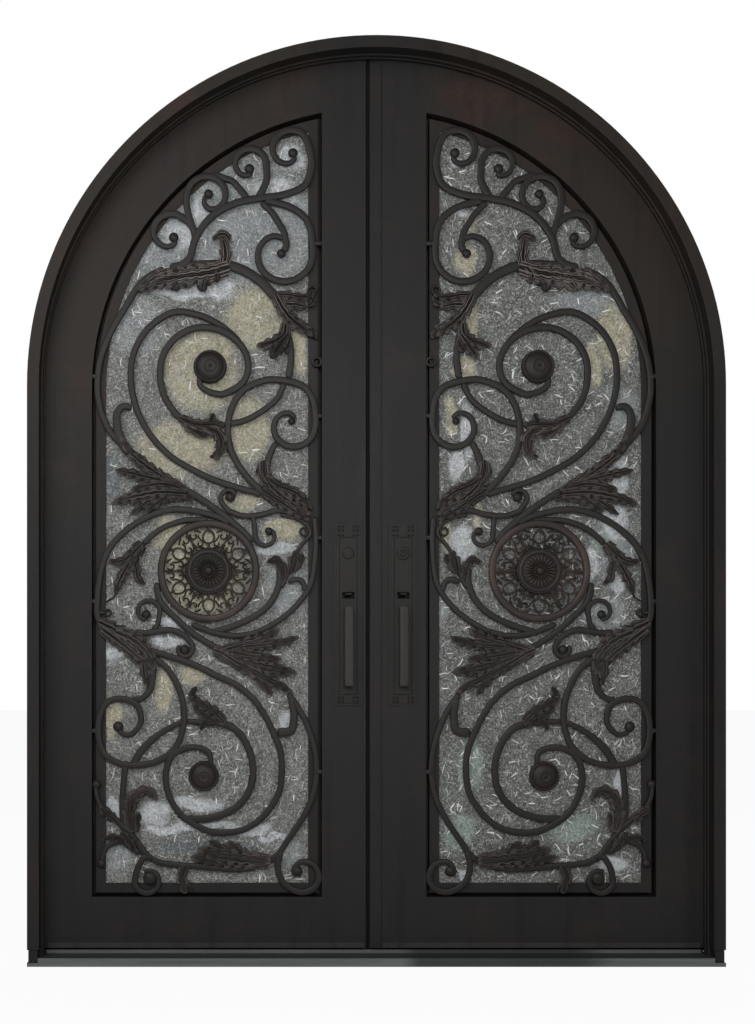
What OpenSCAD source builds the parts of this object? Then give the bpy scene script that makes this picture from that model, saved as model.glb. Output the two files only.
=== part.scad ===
// Arched double entry door of wrought iron: a welded steel frame with a half-round head, and two leaves
// that open inwards, each with an arched glass pane behind a grille of forged scrolls.
// X is to the right seen from outside, Y is into the building, Z is up. The origin is on the underside of
// the sill, below the middle of the doorway, in the plane of the leaves' outer face.

/* [Door unit] */
// Width over the frame
unit_w = 1829; // [1827:1:1833]
// Height over the frame, from the underside of the sill to the crown
unit_h = 2438; // [2434:1:2442]
// Depth of the frame in front of the leaves
reveal_d = 75; // [70:1:85]
// Thickness of a leaf
leaf_t = 50; // [48:1:54]

/* [Frame] */
// Width of the frame's front face
face_w = 31; // [29:1:33]
// Width of the frame beside a leaf's edge
back_w = 20; // [19:1:22]
// Depth of the front part, as far back as the stop
front_d = 43; // [40:1:46]
// Visible width of the frame, with the stepped stop
frame_w = 38; // [37:1:40]
// Free gap between a leaf and the frame or the stop
edge_gap = 6; // [5:1:7]
// Height of the sill
sill_h = 22; // [20:1:24]

/* [Leaves] */
// Free gap where the two leaves meet
meet_gap = 10; // [10:1:12]
// Distance of that gap's right side from the middle, towards the left
meet_x = 12; // [10:1:14]
// Distance from the middle to the near side of each opening
open_in = 139; // [138:1:140]
// Distance from the middle to the far side of each opening, which is its arch's radius too
open_r = 752; // [751:1:753]
// Height of the bottom rail's top edge
rail_top = 172; // [168:1:174]
// Height of the leaves' underside
leaf_z = 37; // [36:1:40]
// Width of the groove round the pane's frame
groove_w = 10; // [9:1:11]
// Width of the pane's frame
band_w = 26; // [24:1:28]

/* [Grille] */
// Thickness of the grille's bars
bar_t = 10; // [8:1:10]
// Projection of the leaves, bosses and buds in front of the bars
leaf_rise = 8; // [6:1:10]
// Outer radius of the rosette's ring
ring_r = 136; // [134:1:138]
// Width of the rosette's ring
ring_w = 19; // [17:1:20]

/* [Pulls] */
// Width of a pull plate
plate_w = 75; // [73:1:77]
// Height of a pull plate
plate_h = 484; // [482:1:488]
// Height of the thumb pieces above the sill's underside
thumb_z = 977; // [975:1:979]
// Width of a grip
grip_w = 26; // [24:1:28]
// Height of a grip
grip_h = 213; // [205:1:220]
// Reach of a grip from the leaf's face
grip_y = 40; // [38:1:50]

/* [Hidden] */
$fn = 160;

IRON = "#332e2c";
SCROLL = "#3a3430";
PULL = "#46423e";
PALE = "#8f8e8b";
GLASS = [0.62, 0.63, 0.62, 0.75];

half_w = unit_w / 2;
spring_z = unit_h - half_w;
leaf_r = half_w - back_w - edge_gap;
// Stop: its step and its back
step_w = frame_w - 2.5;
step_y = -16;
stop_back = 1 - edge_gap;
// Feet of the jambs, on the sill's base strip
base_h = 10;
foot_h = 44;
foot_in = 27;
// Anchor holes through each jamb
anchor_r = 5;
ANCHOR_Z = [400, 1200];
// Hinges
hinge_x = half_w - back_w - edge_gap / 2;
hinge_y = leaf_t + 12;
HINGE_Z = [230, 820, 1410];
barrel_r = 9;
barrel_l = 60;
pin_r = 6;
pin_play = 0.05;
seat_gap = 0.5;
// Pane: front of its frame, front of the glass, and the flange that closes the groove at the back
band_y = 12;
glass_y = 18;
glass_t = 16;
flange_t = 6;
// Drip strip and threshold strip
drip_h = 14;
drip_t = 3;
drip_end = 868;
strip_y = 6;
strip_w = 26;
strip_h = 9;
// Pull plates, with the slot for the thumb piece and the pocket behind it
plate_t = 6;
plate_z = 682;
slot_w = 32;
slot_h = 17;
slot_drop = 10;
pocket_w = 38;
pocket_h = 24;
pocket_d = 26;
ear_t = 3;
ear_x = 15;
thumb_y = 8;
thumb_pin_r = 2.5;
thumb_w = 20;
thumb_out = 30;
grip_z = 733;
grip_t = 10;
grip_leg = 16;
key_x = 78;
key_z = 1087;
key_r = 17;
// Astragal and its seal
astragal_w = 30;
astragal_t = 6;
seal_w = 4;

// Distance from the middle to a leaf's meeting edge, for the left (-1) and the right (1) leaf
function meet_edge(side) = side < 0 ? meet_x + meet_gap : -meet_x;
// Distance from the middle to a leaf's pull plate
function pull_x(side) = side < 0 ? 69 : 77;

// Draws for the right half, and mirrored for the left half
module half(side) {
    if (side < 0) mirror([1, 0, 0]) children();
    else children();
}

// Raises a drawing made in X and Z, from y0 to y1
module plate(y0, y1) {
    translate([0, y1, 0]) rotate([90, 0, 0]) linear_extrude(height = y1 - y0) children();
}

// Frame sections: distance from the outer edge, and depth
module front_section() {
    polygon([[0, -reveal_d], [face_w, -reveal_d], [face_w, front_d - reveal_d], [back_w, front_d - reveal_d],
        [back_w, leaf_t], [0, leaf_t]]);
}
module stop_section() {
    polygon([[back_w, front_d - reveal_d], [step_w, front_d - reveal_d], [step_w, step_y],
        [frame_w, step_y], [frame_w, stop_back], [back_w, stop_back]]);
}

// Stands a section up along a jamb, from z0 to the spring of the arch
module upright(side, z0) {
    half(side) translate([half_w, 0, z0]) linear_extrude(height = spring_z - z0) mirror([1, 0]) children();
}

// Turns a section round the arch's centre by the given angle, from the right or the left spring
module arched(side, turn) {
    half(side) translate([0, 0, spring_z]) rotate([90, 0, 0]) rotate_extrude(angle = turn)
        translate([half_w, 0]) rotate(180) children();
}

module jamb(side) {
    color(IRON) difference() {
        upright(side, foot_h) front_section();
        for (z = ANCHOR_Z)
            translate([side * half_w, leaf_t / 2, z]) rotate([0, 90, 0])
                cylinder(r = anchor_r, h = 4 * back_w, center = true);
    }
}
module head(side) {
    color(IRON) arched(side, 90) front_section();
}
module stop(side) {
    color(IRON) upright(side, sill_h) stop_section();
}
module head_stop() {
    color(IRON) arched(1, 180) stop_section();
}
module sill() {
    color(PALE) {
        translate([-half_w, -reveal_d, 0]) cube([unit_w, reveal_d + leaf_t, base_h]);
        translate([-half_w + foot_in + 1, 2 - reveal_d, base_h])
            cube([unit_w - 2 * foot_in - 2, reveal_d + leaf_t - 2, sill_h - base_h]);
    }
}
module threshold_strip() {
    color("#b5b6b3") translate([-half_w + frame_w + 3, strip_y, sill_h])
        cube([unit_w - 2 * frame_w - 6, strip_w, strip_h]);
}
module frame_feet() {
    color(IRON) for (side = [-1, 1]) half(side) translate([half_w, 0, base_h])
        linear_extrude(height = foot_h - base_h) mirror([1, 0])
            polygon([[3, 4 - reveal_d], [foot_in, 4 - reveal_d], [foot_in, front_d - reveal_d],
                [back_w, front_d - reveal_d], [back_w, leaf_t - 2], [3, leaf_t - 2]]);
}

// Lower half of each hinge: a barrel with its pin, on a block on the jamb's back
module hinge_seats() {
    color(IRON) for (side = [-1, 1], z = HINGE_Z) half(side) {
        translate([hinge_x, hinge_y, z - barrel_l]) cylinder(r = barrel_r, h = barrel_l - seat_gap);
        translate([hinge_x, hinge_y, z - 1]) cylinder(r = pin_r, h = barrel_l - 5);
        translate([half_w - back_w, leaf_t, z - barrel_l]) cube([11, hinge_y - leaf_t, barrel_l - seat_gap]);
    }
}
// Upper half of each hinge, on a block on the leaf's back
module hinge_barrels(side) {
    color(IRON) half(side) for (z = HINGE_Z) difference() {
        union() {
            translate([hinge_x, hinge_y, z]) cylinder(r = barrel_r, h = barrel_l);
            translate([leaf_r - 12, leaf_t, z]) cube([12, hinge_y - leaf_t, barrel_l]);
        }
        translate([hinge_x, hinge_y, z - 1]) cylinder(r = pin_r + pin_play, h = barrel_l - 3);
    }
}

// Outline of an opening, in X and Z, drawn in by inset all round
module opening(inset = 0) {
    intersection() {
        translate([open_in + inset, rail_top + inset]) square([open_r, unit_h]);
        union() {
            translate([0, spring_z]) circle(r = open_r - inset);
            square([open_r - inset, spring_z]);
        }
    }
}
// Outline with a half-round top of the given radius, open to both sides below it
module under_arch(r) {
    translate([0, spring_z]) circle(r = r);
    translate([-half_w, 0]) square([unit_w, spring_z]);
}

module hinge_stile(side) {
    color(IRON) half(side) translate([open_r, 0, leaf_z]) cube([leaf_r - open_r, leaf_t, spring_z - leaf_z]);
}
module lock_stile(side) {
    x0 = meet_edge(side);
    color(IRON) half(side) difference() {
        plate(0, leaf_t) intersection() {
            translate([x0, leaf_z]) square([open_in - x0, unit_h]);
            under_arch(leaf_r);
        }
        translate([pull_x(side) - pocket_w / 2, -1, thumb_z - pocket_h / 2])
            cube([pocket_w, pocket_d + 1, pocket_h]);
    }
}
module bottom_rail(side) {
    color(IRON) half(side) translate([open_in, 0, leaf_z])
        cube([open_r - open_in, leaf_t, rail_top - leaf_z]);
}
module arch_rail(side) {
    color(IRON) half(side) plate(0, leaf_t) intersection() {
        difference() {
            translate([0, spring_z]) circle(r = leaf_r);
            translate([0, spring_z]) circle(r = open_r);
        }
        translate([open_in, spring_z]) square([unit_w, unit_h]);
    }
}
module glass_frame(side) {
    color(IRON) half(side) {
        plate(band_y, leaf_t) difference() {
            opening(groove_w);
            opening(groove_w + band_w);
        }
        plate(leaf_t - flange_t, leaf_t) difference() {
            opening();
            opening(groove_w + 1);
        }
    }
}
module glass(side) {
    color(GLASS) half(side) plate(glass_y, glass_y + glass_t) opening(groove_w + band_w);
}
module drip_strip(side) {
    x0 = side < 0 ? meet_edge(side) + 4 : astragal_w - meet_x + 4;
    color(PULL) half(side) translate([x0, -drip_t, leaf_z]) cube([drip_end - x0, drip_t, drip_h]);
}

// Curves of the grille
function lerp(a, b, t) = a + (b - a) * t;
// Point on a smooth curve from p1 to p2, with p0 before them and p3 after
function spline(p0, p1, p2, p3, t) = 0.5 * (2 * p1 + (p2 - p0) * t + (2 * p0 - 5 * p1 + 4 * p2 - p3) * t * t
    + (3 * p1 - p0 - 3 * p2 + p3) * t * t * t);
function route(p, n = 2) = let (m = len(p) - 1) concat([for (i = [0 : m - 1], k = [0 : n - 1])
    spline(p[max(i - 1, 0)], p[i], p[i + 1], p[min(i + 2, m)], k / n)], [p[m]]);
function unit(v) = v / norm(v);
// Direction square to a route at its point i
function across(p, i) = let (m = len(p) - 1, d = unit(p[min(i + 1, m)] - p[max(i - 1, 0)])) [-d[1], d[0]];

// Points of a volute round c, from radius r0 at angle a0 to radius r1 at angle a1: it opens quickly at first
function volute(c, r0, r1, a0, a1, n = 12) = [for (k = [0 : n]) let (t = k / n, a = lerp(a0, a1, t),
    r = r1 + (r0 - r1) * pow(1 - t, 4)) [c[0] + r * cos(a), c[1] + r * sin(a)]];

// One leaf's grille, drawn for the right half: distance from the middle, and height.
// Bars: route, width at its start and width further on
BARS = [
    // volutes under the arch, and the long bar that carries them down to the upper leaf
    [concat(volute([220, 2165], 18, 52, 235, 485), [[176, 2182], [168, 2150], [167, 2118], [185, 2070],
        [240, 2045], [310, 2035], [375, 2020], [435, 1985], [475, 1930], [490, 1880], [515, 1858],
        [545, 1852]]), 8, 15],
    [concat(volute([330, 2125], 22, 43, 257, 530), [[286, 2110], [286, 2085], [296, 2060],
        [310, 2036]]), 8, 15],
    [concat([[449, 2043]], volute([445, 2040], 16, 54, 300, 0), [[500, 2020], [494, 1990],
        [484, 1960], [476, 1935]]), 8, 14],
    [concat(volute([540, 1945], 26, 49, 238, 480), [[492, 1970], [480, 1948], [476, 1925]]), 8, 15],
    [[[400, 2090], [378, 2082], [361, 2064], [346, 2046], [338, 2032]], 11, 11],
    // upper loop and the bar inside it
    [concat(volute([240, 1890], 36, 77, 90, -180), [[165, 1920], [170, 1955], [185, 1985], [210, 2005],
        [240, 2018], [290, 2030]]), 12, 15],
    [[[300, 2025], [270, 1995], [254, 1970], [242, 1950], [235, 1925], [234, 1908], [241, 1893]], 14, 15],
    // from the upper leaf to both sides
    [[[545, 1852], [470, 1858], [395, 1857], [350, 1844], [306, 1817], [272, 1782], [256, 1764]], 14, 20],
    [[[560, 1848], [600, 1828], [630, 1800], [666, 1740], [704, 1674], [730, 1603], [738, 1528],
        [727, 1464], [703, 1412],
        [663, 1370], [608, 1335]], 14, 15],
    // long bar round the upper spiral
    [[[375, 1686], [405, 1710], [460, 1731], [525, 1733], [570, 1715], [612, 1677], [641, 1622], [649, 1555],
        [640, 1497], [620, 1443], [588, 1393], [542, 1347], [488, 1314], [433, 1287], [378, 1268],
        [300, 1246]], 14, 16],
    // upper spiral, from its boss out to the middle leaf
    [[[460, 1575], [465, 1540], [447, 1523], [424, 1515], [399, 1514], [354, 1540], [335, 1580], [346, 1630],
        [383, 1670], [435, 1690], [488, 1686], [535, 1657], [564, 1612], [570, 1558], [558, 1505],
        [531, 1463], [512, 1447]], 12, 17],
    // right loop, over and down to the right leaf
    [concat(volute([215, 1430], 18, 58, 105, -175), [[156, 1450], [164, 1500], [194, 1537], [264, 1552],
        [312, 1543], [352, 1520], [378, 1480], [389, 1430], [386, 1380], [369, 1336], [340, 1294],
        [307, 1260]]), 8, 15],
    [[[238, 1543], [258, 1502], [298, 1468], [342, 1444], [386, 1433]], 11, 12],
    [[[428, 1432], [390, 1431]], 12, 12],
    [[[246, 1702], [226, 1660], [221, 1608], [228, 1555]], 14, 17],
    [[[260, 1386], [280, 1345], [289, 1298]], 16, 22],
    [[[645, 1476], [661, 1480], [677, 1474], [685, 1456], [680, 1400]], 12, 18],
    // bars over the rosette
    [[[500, 1257], [440, 1219], [388, 1180], [345, 1142], [328, 1115]], 14, 14],
    [[[425, 1186], [472, 1200], [525, 1206], [578, 1196], [622, 1176], [662, 1149], [696, 1115], [718, 1076],
        [731, 1028], [738, 970], [737, 918], [714, 876]], 12, 14],
    [[[442, 1176], [475, 1178], [512, 1175], [562, 1157], [600, 1129], [615, 1112]], 10, 11],
    [concat(volute([385, 1235], 15, 24, 160, -60), [[385, 1200], [345, 1188], [298, 1192]]), 8, 13],
    [concat(volute([290, 1136], 18, 27, 115, 350), [[318, 1150], [320, 1170], [322, 1188]]), 8, 13],
    [[[250, 1190], [220, 1186], [184, 1169], [170, 1141], [190, 1115], [210, 1086]], 9, 9],
    // bars beside and under the rosette
    [[[252, 1050], [252, 1010], [269, 967], [297, 935], [340, 909], [392, 889], [430, 879]], 14, 14],
    [[[218, 1064], [236, 1020], [248, 996]], 8, 12],
    [[[228, 1010], [212, 1019], [194, 1016], [186, 1001], [183, 985]], 10, 12],
    [[[159, 1185], [155, 1130], [158, 1070], [167, 1012], [191, 968], [224, 932], [264, 903], [312, 879],
        [365, 869], [420, 875], [465, 891], [487, 900]], 13, 13],
    [concat(volute([505, 835], 14, 22, 30, -220), [[505, 868], [530, 881], [552, 884], [600, 877],
        [640, 878]]), 8, 14],
    [concat(volute([602, 932], 20, 31, 280, 560), [[577, 900], [590, 884]]), 7, 11],
    [[[580, 1010], [574, 970], [556, 942], [499, 888], [450, 853], [405, 831], [380, 825]], 14, 14],
    // lower spiral: the long bar from its boss to the lower left leaf, and the turn inside it
    [[[435, 520], [440, 556], [470, 570], [508, 567], [541, 545], [555, 504], [552, 460], [534, 416],
        [503, 380], [445, 349], [395, 344], [347, 352], [307, 376], [277, 409], [254, 450], [246, 503],
        [249, 556],
        [266, 604], [289, 651], [320, 697], [366, 736], [418, 761], [472, 787], [526, 808],
        [604, 831]], 12, 15],
    [[[500, 641], [445, 636], [400, 632], [368, 617], [343, 585], [326, 539], [323, 493], [335, 450],
        [362, 415], [400, 393], [446, 381], [500, 380]], 10, 16],
    // lower left loop, with its inner bar and stem
    [[[682, 614], [655, 604], [630, 622], [621, 650], [634, 685], [670, 700], [708, 693], [731, 655],
        [735, 602], [722, 557], [687, 531], [643, 523], [596, 528], [553, 548], [524, 580], [509, 624],
        [507, 665], [512, 700], [526, 739], [553, 782], [592, 812]], 8, 16],
    [[[512, 640], [562, 613], [600, 584], [627, 552], [634, 534]], 13, 20],
    [[[663, 520], [665, 480], [669, 437], [663, 398]], 14, 15],
    // corner plant's two arms
    [[[742, 474], [739, 440], [728, 415], [700, 390], [670, 362]], 18, 24],
    [[[729, 264], [722, 300], [710, 325], [690, 336], [672, 350]], 12, 20],
    [[[222, 702], [214, 660], [217, 622], [230, 612], [258, 611]], 14, 22],
    [[[598, 782], [608, 730], [607, 714], [615, 703], [627, 701], [638, 708]], 14, 10],
    // bottom bar, up to the lower right leaf, and its two volutes
    [[[672, 332], [645, 304], [616, 280], [568, 263], [515, 256], [462, 252], [408, 247], [352, 246],
        [300, 257], [258, 283], [234, 317], [207, 356], [183, 396], [164, 440], [154, 490], [155, 545],
        [167, 598], [186, 648], [213, 693], [230, 713]], 14, 14],
    [concat(volute([605, 215], 24, 33, 70, 380), [[631, 248], [620, 268], [608, 284]]), 8, 13],
    [[[205, 229], [215, 242], [196, 265], [160, 257], [147, 220], [166, 191], [200, 185], [234, 202],
        [252, 228], [256, 260], [248, 294]], 8, 15],
    // tabs to the opening's edge
    [[[137, 1915], [168, 1915]], 11, 11],
    [[[137, 1455], [160, 1455]], 11, 11],
    [[[137, 1130], [160, 1130]], 11, 11],
    [[[137, 505], [156, 505]], 11, 11],
    [[[754, 1560], [735, 1560]], 11, 11],
    [[[754, 960], [735, 960]], 11, 11],
    [[[740, 930], [718, 930]], 8, 8],
    [[[754, 615], [733, 615]], 11, 11]
];
// Eyes of the volutes: distance from the middle, height, radius
EYES = [[216, 2156, 11], [332, 2114, 11], [441, 2047, 10], [534, 1931, 11], [247, 1888, 11], [219, 1441, 8],
    [383, 1238, 12], [280, 1147, 9], [505, 831, 12], [607, 925, 11], [682, 626, 12], [603, 223, 15],
    [199, 238, 9], [742, 474, 11], [730, 262, 9]];
// Small rings on the opening's edge and at the buds
RINGS = [[165, 1790, 14], [152, 1599, 15], [187, 1146, 13], [710, 930, 11]];
// Leaf blades, as [route of the middle rib from base to tip, greatest width]
BLADES = [
    // leaf under the arch
    [[[400, 1850], [397, 1880], [397, 1905], [405, 1928]], 30],
    [[[402, 1910], [410, 1925], [426, 1928]], 22],
    [[[396, 1912], [388, 1928], [376, 1932]], 16],
    [[[396, 1850], [460, 1842], [540, 1838], [622, 1806]], 38],
    [[[402, 1852], [421, 1832], [417, 1812]], 27],
    [[[430, 1848], [440, 1822], [458, 1784]], 40],
    [[[470, 1850], [505, 1822], [548, 1790]], 46],
    [[[540, 1842], [580, 1828], [612, 1800]], 36],
    // leaf at the right edge, over the upper spiral
    [[[262, 1775], [245, 1742], [222, 1712], [195, 1690], [162, 1668]], 42],
    [[[258, 1770], [232, 1752], [205, 1750], [178, 1742]], 34],
    [[[262, 1778], [230, 1776], [190, 1770], [158, 1778]], 26],
    [[[178, 1748], [165, 1755], [158, 1775]], 16],
    [[[205, 1700], [180, 1690], [152, 1660]], 28],
    [[[236, 1706], [240, 1672], [270, 1650], [314, 1640]], 36],
    [[[230, 1672], [248, 1646], [276, 1606]], 34],
    [[[225, 1655], [232, 1635], [244, 1626]], 22],
    // leaf under the upper spiral
    [[[520, 1450], [480, 1432], [440, 1430], [396, 1432]], 34],
    [[[440, 1428], [432, 1446], [428, 1462]], 24],
    [[[512, 1444], [480, 1416], [440, 1398]], 30],
    [[[450, 1425], [415, 1405], [408, 1370], [424, 1336]], 40],
    [[[408, 1380], [420, 1352], [438, 1344]], 20],
    // leaf at the right edge, over the rosette
    [[[294, 1335], [292, 1300], [270, 1262], [222, 1222], [168, 1190]], 46],
    [[[296, 1322], [306, 1312], [310, 1298]], 18],
    [[[290, 1290], [255, 1268], [205, 1246], [166, 1206]], 34],
    [[[300, 1258], [250, 1225], [205, 1195], [172, 1176]], 34],
    // left spray over the rosette
    [[[498, 1250], [560, 1288], [610, 1324], [644, 1352]], 34],
    [[[545, 1278], [610, 1292], [650, 1302], [692, 1310]], 34],
    [[[515, 1260], [560, 1272], [600, 1268], [648, 1256]], 36],
    [[[500, 1246], [570, 1250], [640, 1238], [702, 1218]], 40],
    [[[505, 1248], [550, 1243], [600, 1226], [652, 1189]], 32],
    [[[510, 1244], [560, 1232], [609, 1197]], 30],
    [[[480, 1236], [530, 1238], [576, 1222]], 24],
    // bud at the left
    [[[618, 1112], [645, 1085], [675, 1066], [708, 1068]], 30],
    [[[616, 1115], [640, 1085], [656, 1045]], 42],
    [[[645, 1085], [634, 1050], [628, 1020], [608, 1006]], 28],
    [[[650, 1066], [668, 1034], [682, 1004], [689, 978]], 32],
    [[[686, 984], [696, 968], [718, 957]], 6],
    // leaf at the lower left
    [[[734, 906], [692, 886], [650, 868], [604, 858]], 42],
    [[[726, 888], [675, 850], [625, 808], [588, 764]], 42],
    [[[690, 880], [640, 856], [604, 820], [584, 774]], 46],
    [[[615, 800], [612, 765], [604, 736]], 26],
    // spray under the rosette
    [[[410, 826], [345, 846], [295, 862], [251, 889]], 36],
    [[[345, 842], [312, 862], [306, 886]], 18],
    [[[350, 838], [290, 845], [240, 852], [200, 866]], 32],
    [[[380, 825], [320, 814], [246, 805]], 34],
    [[[430, 832], [335, 796], [270, 780], [206, 771]], 46],
    [[[402, 819], [310, 766], [262, 742], [216, 716]], 38],
    [[[345, 792], [298, 745], [272, 708]], 30],
    // leaf over the lower spiral
    [[[396, 634], [430, 668], [468, 690], [494, 706]], 34],
    [[[470, 690], [486, 712], [472, 732]], 22],
    [[[400, 634], [440, 648], [484, 684]], 30],
    [[[430, 640], [452, 636], [462, 616]], 20],
    // leaf on the bottom bar
    [[[286, 268], [345, 278], [410, 296], [462, 318]], 40],
    [[[320, 258], [400, 264], [486, 276]], 38],
    [[[320, 266], [362, 288], [398, 324]], 36],
    [[[300, 262], [330, 275], [352, 300]], 26],
    [[[500, 252], [513, 230], [508, 205], [501, 178]], 28],
    [[[511, 228], [498, 204], [488, 186]], 14],
    // bud at the right edge
    [[[222, 1036], [213, 1065], [207, 1096]], 38],
    [[[214, 1045], [200, 1062], [189, 1086]], 24],
    [[[242, 1022], [245, 1050], [260, 1070], [287, 1064]], 28],
    // plant in the lower left corner
    [[[672, 380], [660, 410], [655, 446]], 30],
    [[[655, 405], [645, 430], [615, 448], [580, 428]], 30],
    [[[645, 425], [632, 448], [614, 466]], 22],
    [[[674, 338], [655, 370], [640, 402]], 28]
];
// Round bosses in the two large spirals, and the rosette's centre
BOSSES = [[437, 1586, 43], [454, 494, 39]];
ROSETTE = [441, 1041];

// Flat bar along a route, which comes to its full width over its first points
swell = 10;
rib_w = 5;
module ribbon(p, w0, w1) {
    m = len(p) - 1;
    function w(i) = lerp(w0, w1, min(i / swell, 1)) / 2;
    polygon(concat([for (i = [0 : m]) p[i] + across(p, i) * w(i)],
        [for (i = [m : -1 : 0]) p[i] - across(p, i) * w(i)]));
}
// Blade of a leaf, widest before its middle, with a narrow tip
module blade(p, w) {
    m = len(p) - 1;
    function half_blade(i) = w / 2 * max(sqrt(sin(180 * (0.15 + 0.85 * i / m))), 0.06);
    polygon(concat([for (i = [0 : m]) p[i] + across(p, i) * half_blade(i)],
        [for (i = [m : -1 : 0]) p[i] - across(p, i) * half_blade(i)]));
}
// Takes off slivers and points thinner than 0.6 mm
module smoothed() {
    offset(delta = 0.3) offset(delta = -0.3) children();
}
module ring(r, w) {
    difference() {
        circle(r = r);
        circle(r = r - w);
    }
}

module scrollwork(side) {
    color(SCROLL) half(side) plate(0, bar_t) smoothed() difference() {
        intersection() {
            union() {
                for (b = BARS) ribbon(route(b[0]), b[1], b[2]);
                for (b = BLADES) ribbon(route(b[0]), rib_w, rib_w);
                for (e = EYES) translate([e[0], e[1]]) circle(r = e[2], $fn = 20);
                for (e = RINGS) translate([e[0], e[1]]) ring(e[2], e[2] / 2, $fn = 20);
            }
            opening();
        }
        translate(ROSETTE) circle(r = ring_r);
    }
}
module acanthus(side) {
    color(SCROLL) half(side) plate(-leaf_rise, 0) smoothed() difference() {
        intersection() {
            union() for (b = BLADES) blade(route(b[0]), b[1]);
            opening();
        }
        translate(ROSETTE) circle(r = ring_r + 1);
    }
}

// Rosette: a ring, a hub, and fretwork of six round eyes with six ribs between them
hub_r = 61;
eye_at = 90;
eye_r = 20;
curl_at = 100;
curl_r = 10;
module rosette(side) {
    color(SCROLL) half(side) translate([ROSETTE[0], 0, ROSETTE[1]]) {
        plate(-4, bar_t) ring(ring_r, ring_w);
        plate(0, bar_t) offset(delta = 0) intersection() {
            circle(r = ring_r - ring_w + 1);
            for (a = [0 : 60 : 300]) {
                rotate(a) translate([hub_r - 2, -4]) square([ring_r - hub_r - 8, 8]);
                rotate(a + 30) translate([eye_at, 0]) ring(eye_r, 6, $fn = 24);
                for (x = [hub_r - 2, eye_at + eye_r - 3]) rotate(a + 30) translate([x, -3]) square([14, 6]);
                for (s = [-1, 1]) rotate(a + 7 * s) translate([curl_at, 0]) ring(curl_r, 4, $fn = 16);
                for (s = [-1, 1]) rotate(a + 14 * s) translate([hub_r + 10, 0]) ring(curl_r + 2, 5, $fn = 16);
            }
        }
        rotate([90, 0, 0]) translate([0, 0, -bar_t]) cylinder(r = hub_r, h = bar_t + leaf_rise);
    }
}
module bosses(side) {
    color(SCROLL) half(side) for (b = BOSSES) translate([b[0], 0, b[1]]) rotate([90, 0, 0])
        cylinder(r = b[2], h = leaf_rise + 2);
}

module pull_plates(side) {
    color(PULL) half(side) translate([pull_x(side), 0, 0]) {
        difference() {
            translate([-plate_w / 2, -plate_t, plate_z]) cube([plate_w, plate_t, plate_h]);
            translate([-slot_w / 2, -plate_t - 1, thumb_z - slot_drop]) cube([slot_w, plate_t + 2, slot_h]);
        }
        for (s = [-1, 1]) translate([s * (ear_x + ear_t / 2) - ear_t / 2, 0, thumb_z - 6])
            cube([ear_t, thumb_y + 6, 12]);
        translate([-ear_x - 1, thumb_y, thumb_z]) rotate([0, 90, 0])
            cylinder(r = thumb_pin_r, h = 2 * ear_x + 2);
        translate([-plate_w / 2, leaf_t, plate_z]) cube([plate_w, plate_t, plate_h]);
    }
}
// Upright bar on two legs, in front of the outer plate
module grip() {
    translate([-grip_w / 2, -grip_y, grip_z]) cube([grip_w, grip_t, grip_h]);
    for (z = [grip_z, grip_z + grip_h - grip_leg])
        translate([-grip_w / 2, 1 - grip_y, z]) cube([grip_w, grip_y - plate_t - 1, grip_leg]);
}
module pull_grips(side) {
    color(PULL) half(side) translate([pull_x(side), 0, 0]) {
        grip();
        translate([0, leaf_t, 0]) mirror([0, 1, 0]) grip();
    }
}
module thumb_piece(side) {
    color(PULL) half(side) translate([pull_x(side), 0, thumb_z]) difference() {
        union() {
            translate([-thumb_w / 2, thumb_y, 0]) rotate([0, 90, 0])
                cylinder(r = 2 * thumb_pin_r, h = thumb_w);
            translate([-thumb_w / 2, -thumb_out, -2]) cube([thumb_w, thumb_out + thumb_y, 4]);
        }
        translate([-thumb_w / 2 - 1, thumb_y, 0]) rotate([0, 90, 0])
            cylinder(r = thumb_pin_r + 0.1, h = thumb_w + 2);
    }
}
module key_cylinder() {
    color(PULL) translate([key_x, -plate_t, key_z]) rotate([90, 0, 0]) cylinder(r = key_r, h = 6);
}
module astragal() {
    color(IRON) plate(-astragal_t, 0) intersection() {
        translate([-meet_x, leaf_z]) square([astragal_w, unit_h]);
        under_arch(half_w - frame_w - edge_gap);
    }
}
module meeting_seal() {
    color("#151515") translate([-meet_x - seal_w, leaf_t - 12, leaf_z + 2])
        cube([seal_w, 10, spring_z + leaf_r - leaf_z - 4]);
}

jamb(-1);  // left_jamb
jamb(1);  // right_jamb
head(-1);  // left_head
head(1);  // right_head
stop(-1);  // left_stop
stop(1);  // right_stop
head_stop();
sill();
threshold_strip();
frame_feet();
hinge_seats();
hinge_stile(-1);  // left_hinge_stile
lock_stile(-1);  // left_lock_stile
bottom_rail(-1);  // left_bottom_rail
arch_rail(-1);  // left_arch_rail
glass_frame(-1);  // left_glass_frame
glass(-1);  // left_glass
scrollwork(-1);  // left_scrollwork
acanthus(-1);  // left_acanthus
rosette(-1);  // left_rosette
bosses(-1);  // left_bosses
pull_plates(-1);  // left_pull_plates
pull_grips(-1);  // left_pull_grips
hinge_barrels(-1);  // left_hinge_barrels
drip_strip(-1);  // left_drip_strip
thumb_piece(-1);  // left_thumb_piece
hinge_stile(1);  // right_hinge_stile
lock_stile(1);  // right_lock_stile
bottom_rail(1);  // right_bottom_rail
arch_rail(1);  // right_arch_rail
glass_frame(1);  // right_glass_frame
glass(1);  // right_glass
scrollwork(1);  // right_scrollwork
acanthus(1);  // right_acanthus
rosette(1);  // right_rosette
bosses(1);  // right_bosses
pull_plates(1);  // right_pull_plates
pull_grips(1);  // right_pull_grips
hinge_barrels(1);  // right_hinge_barrels
drip_strip(1);  // right_drip_strip
thumb_piece(1);  // right_thumb_piece
astragal();
meeting_seal();
key_cylinder();
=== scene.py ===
import math

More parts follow.
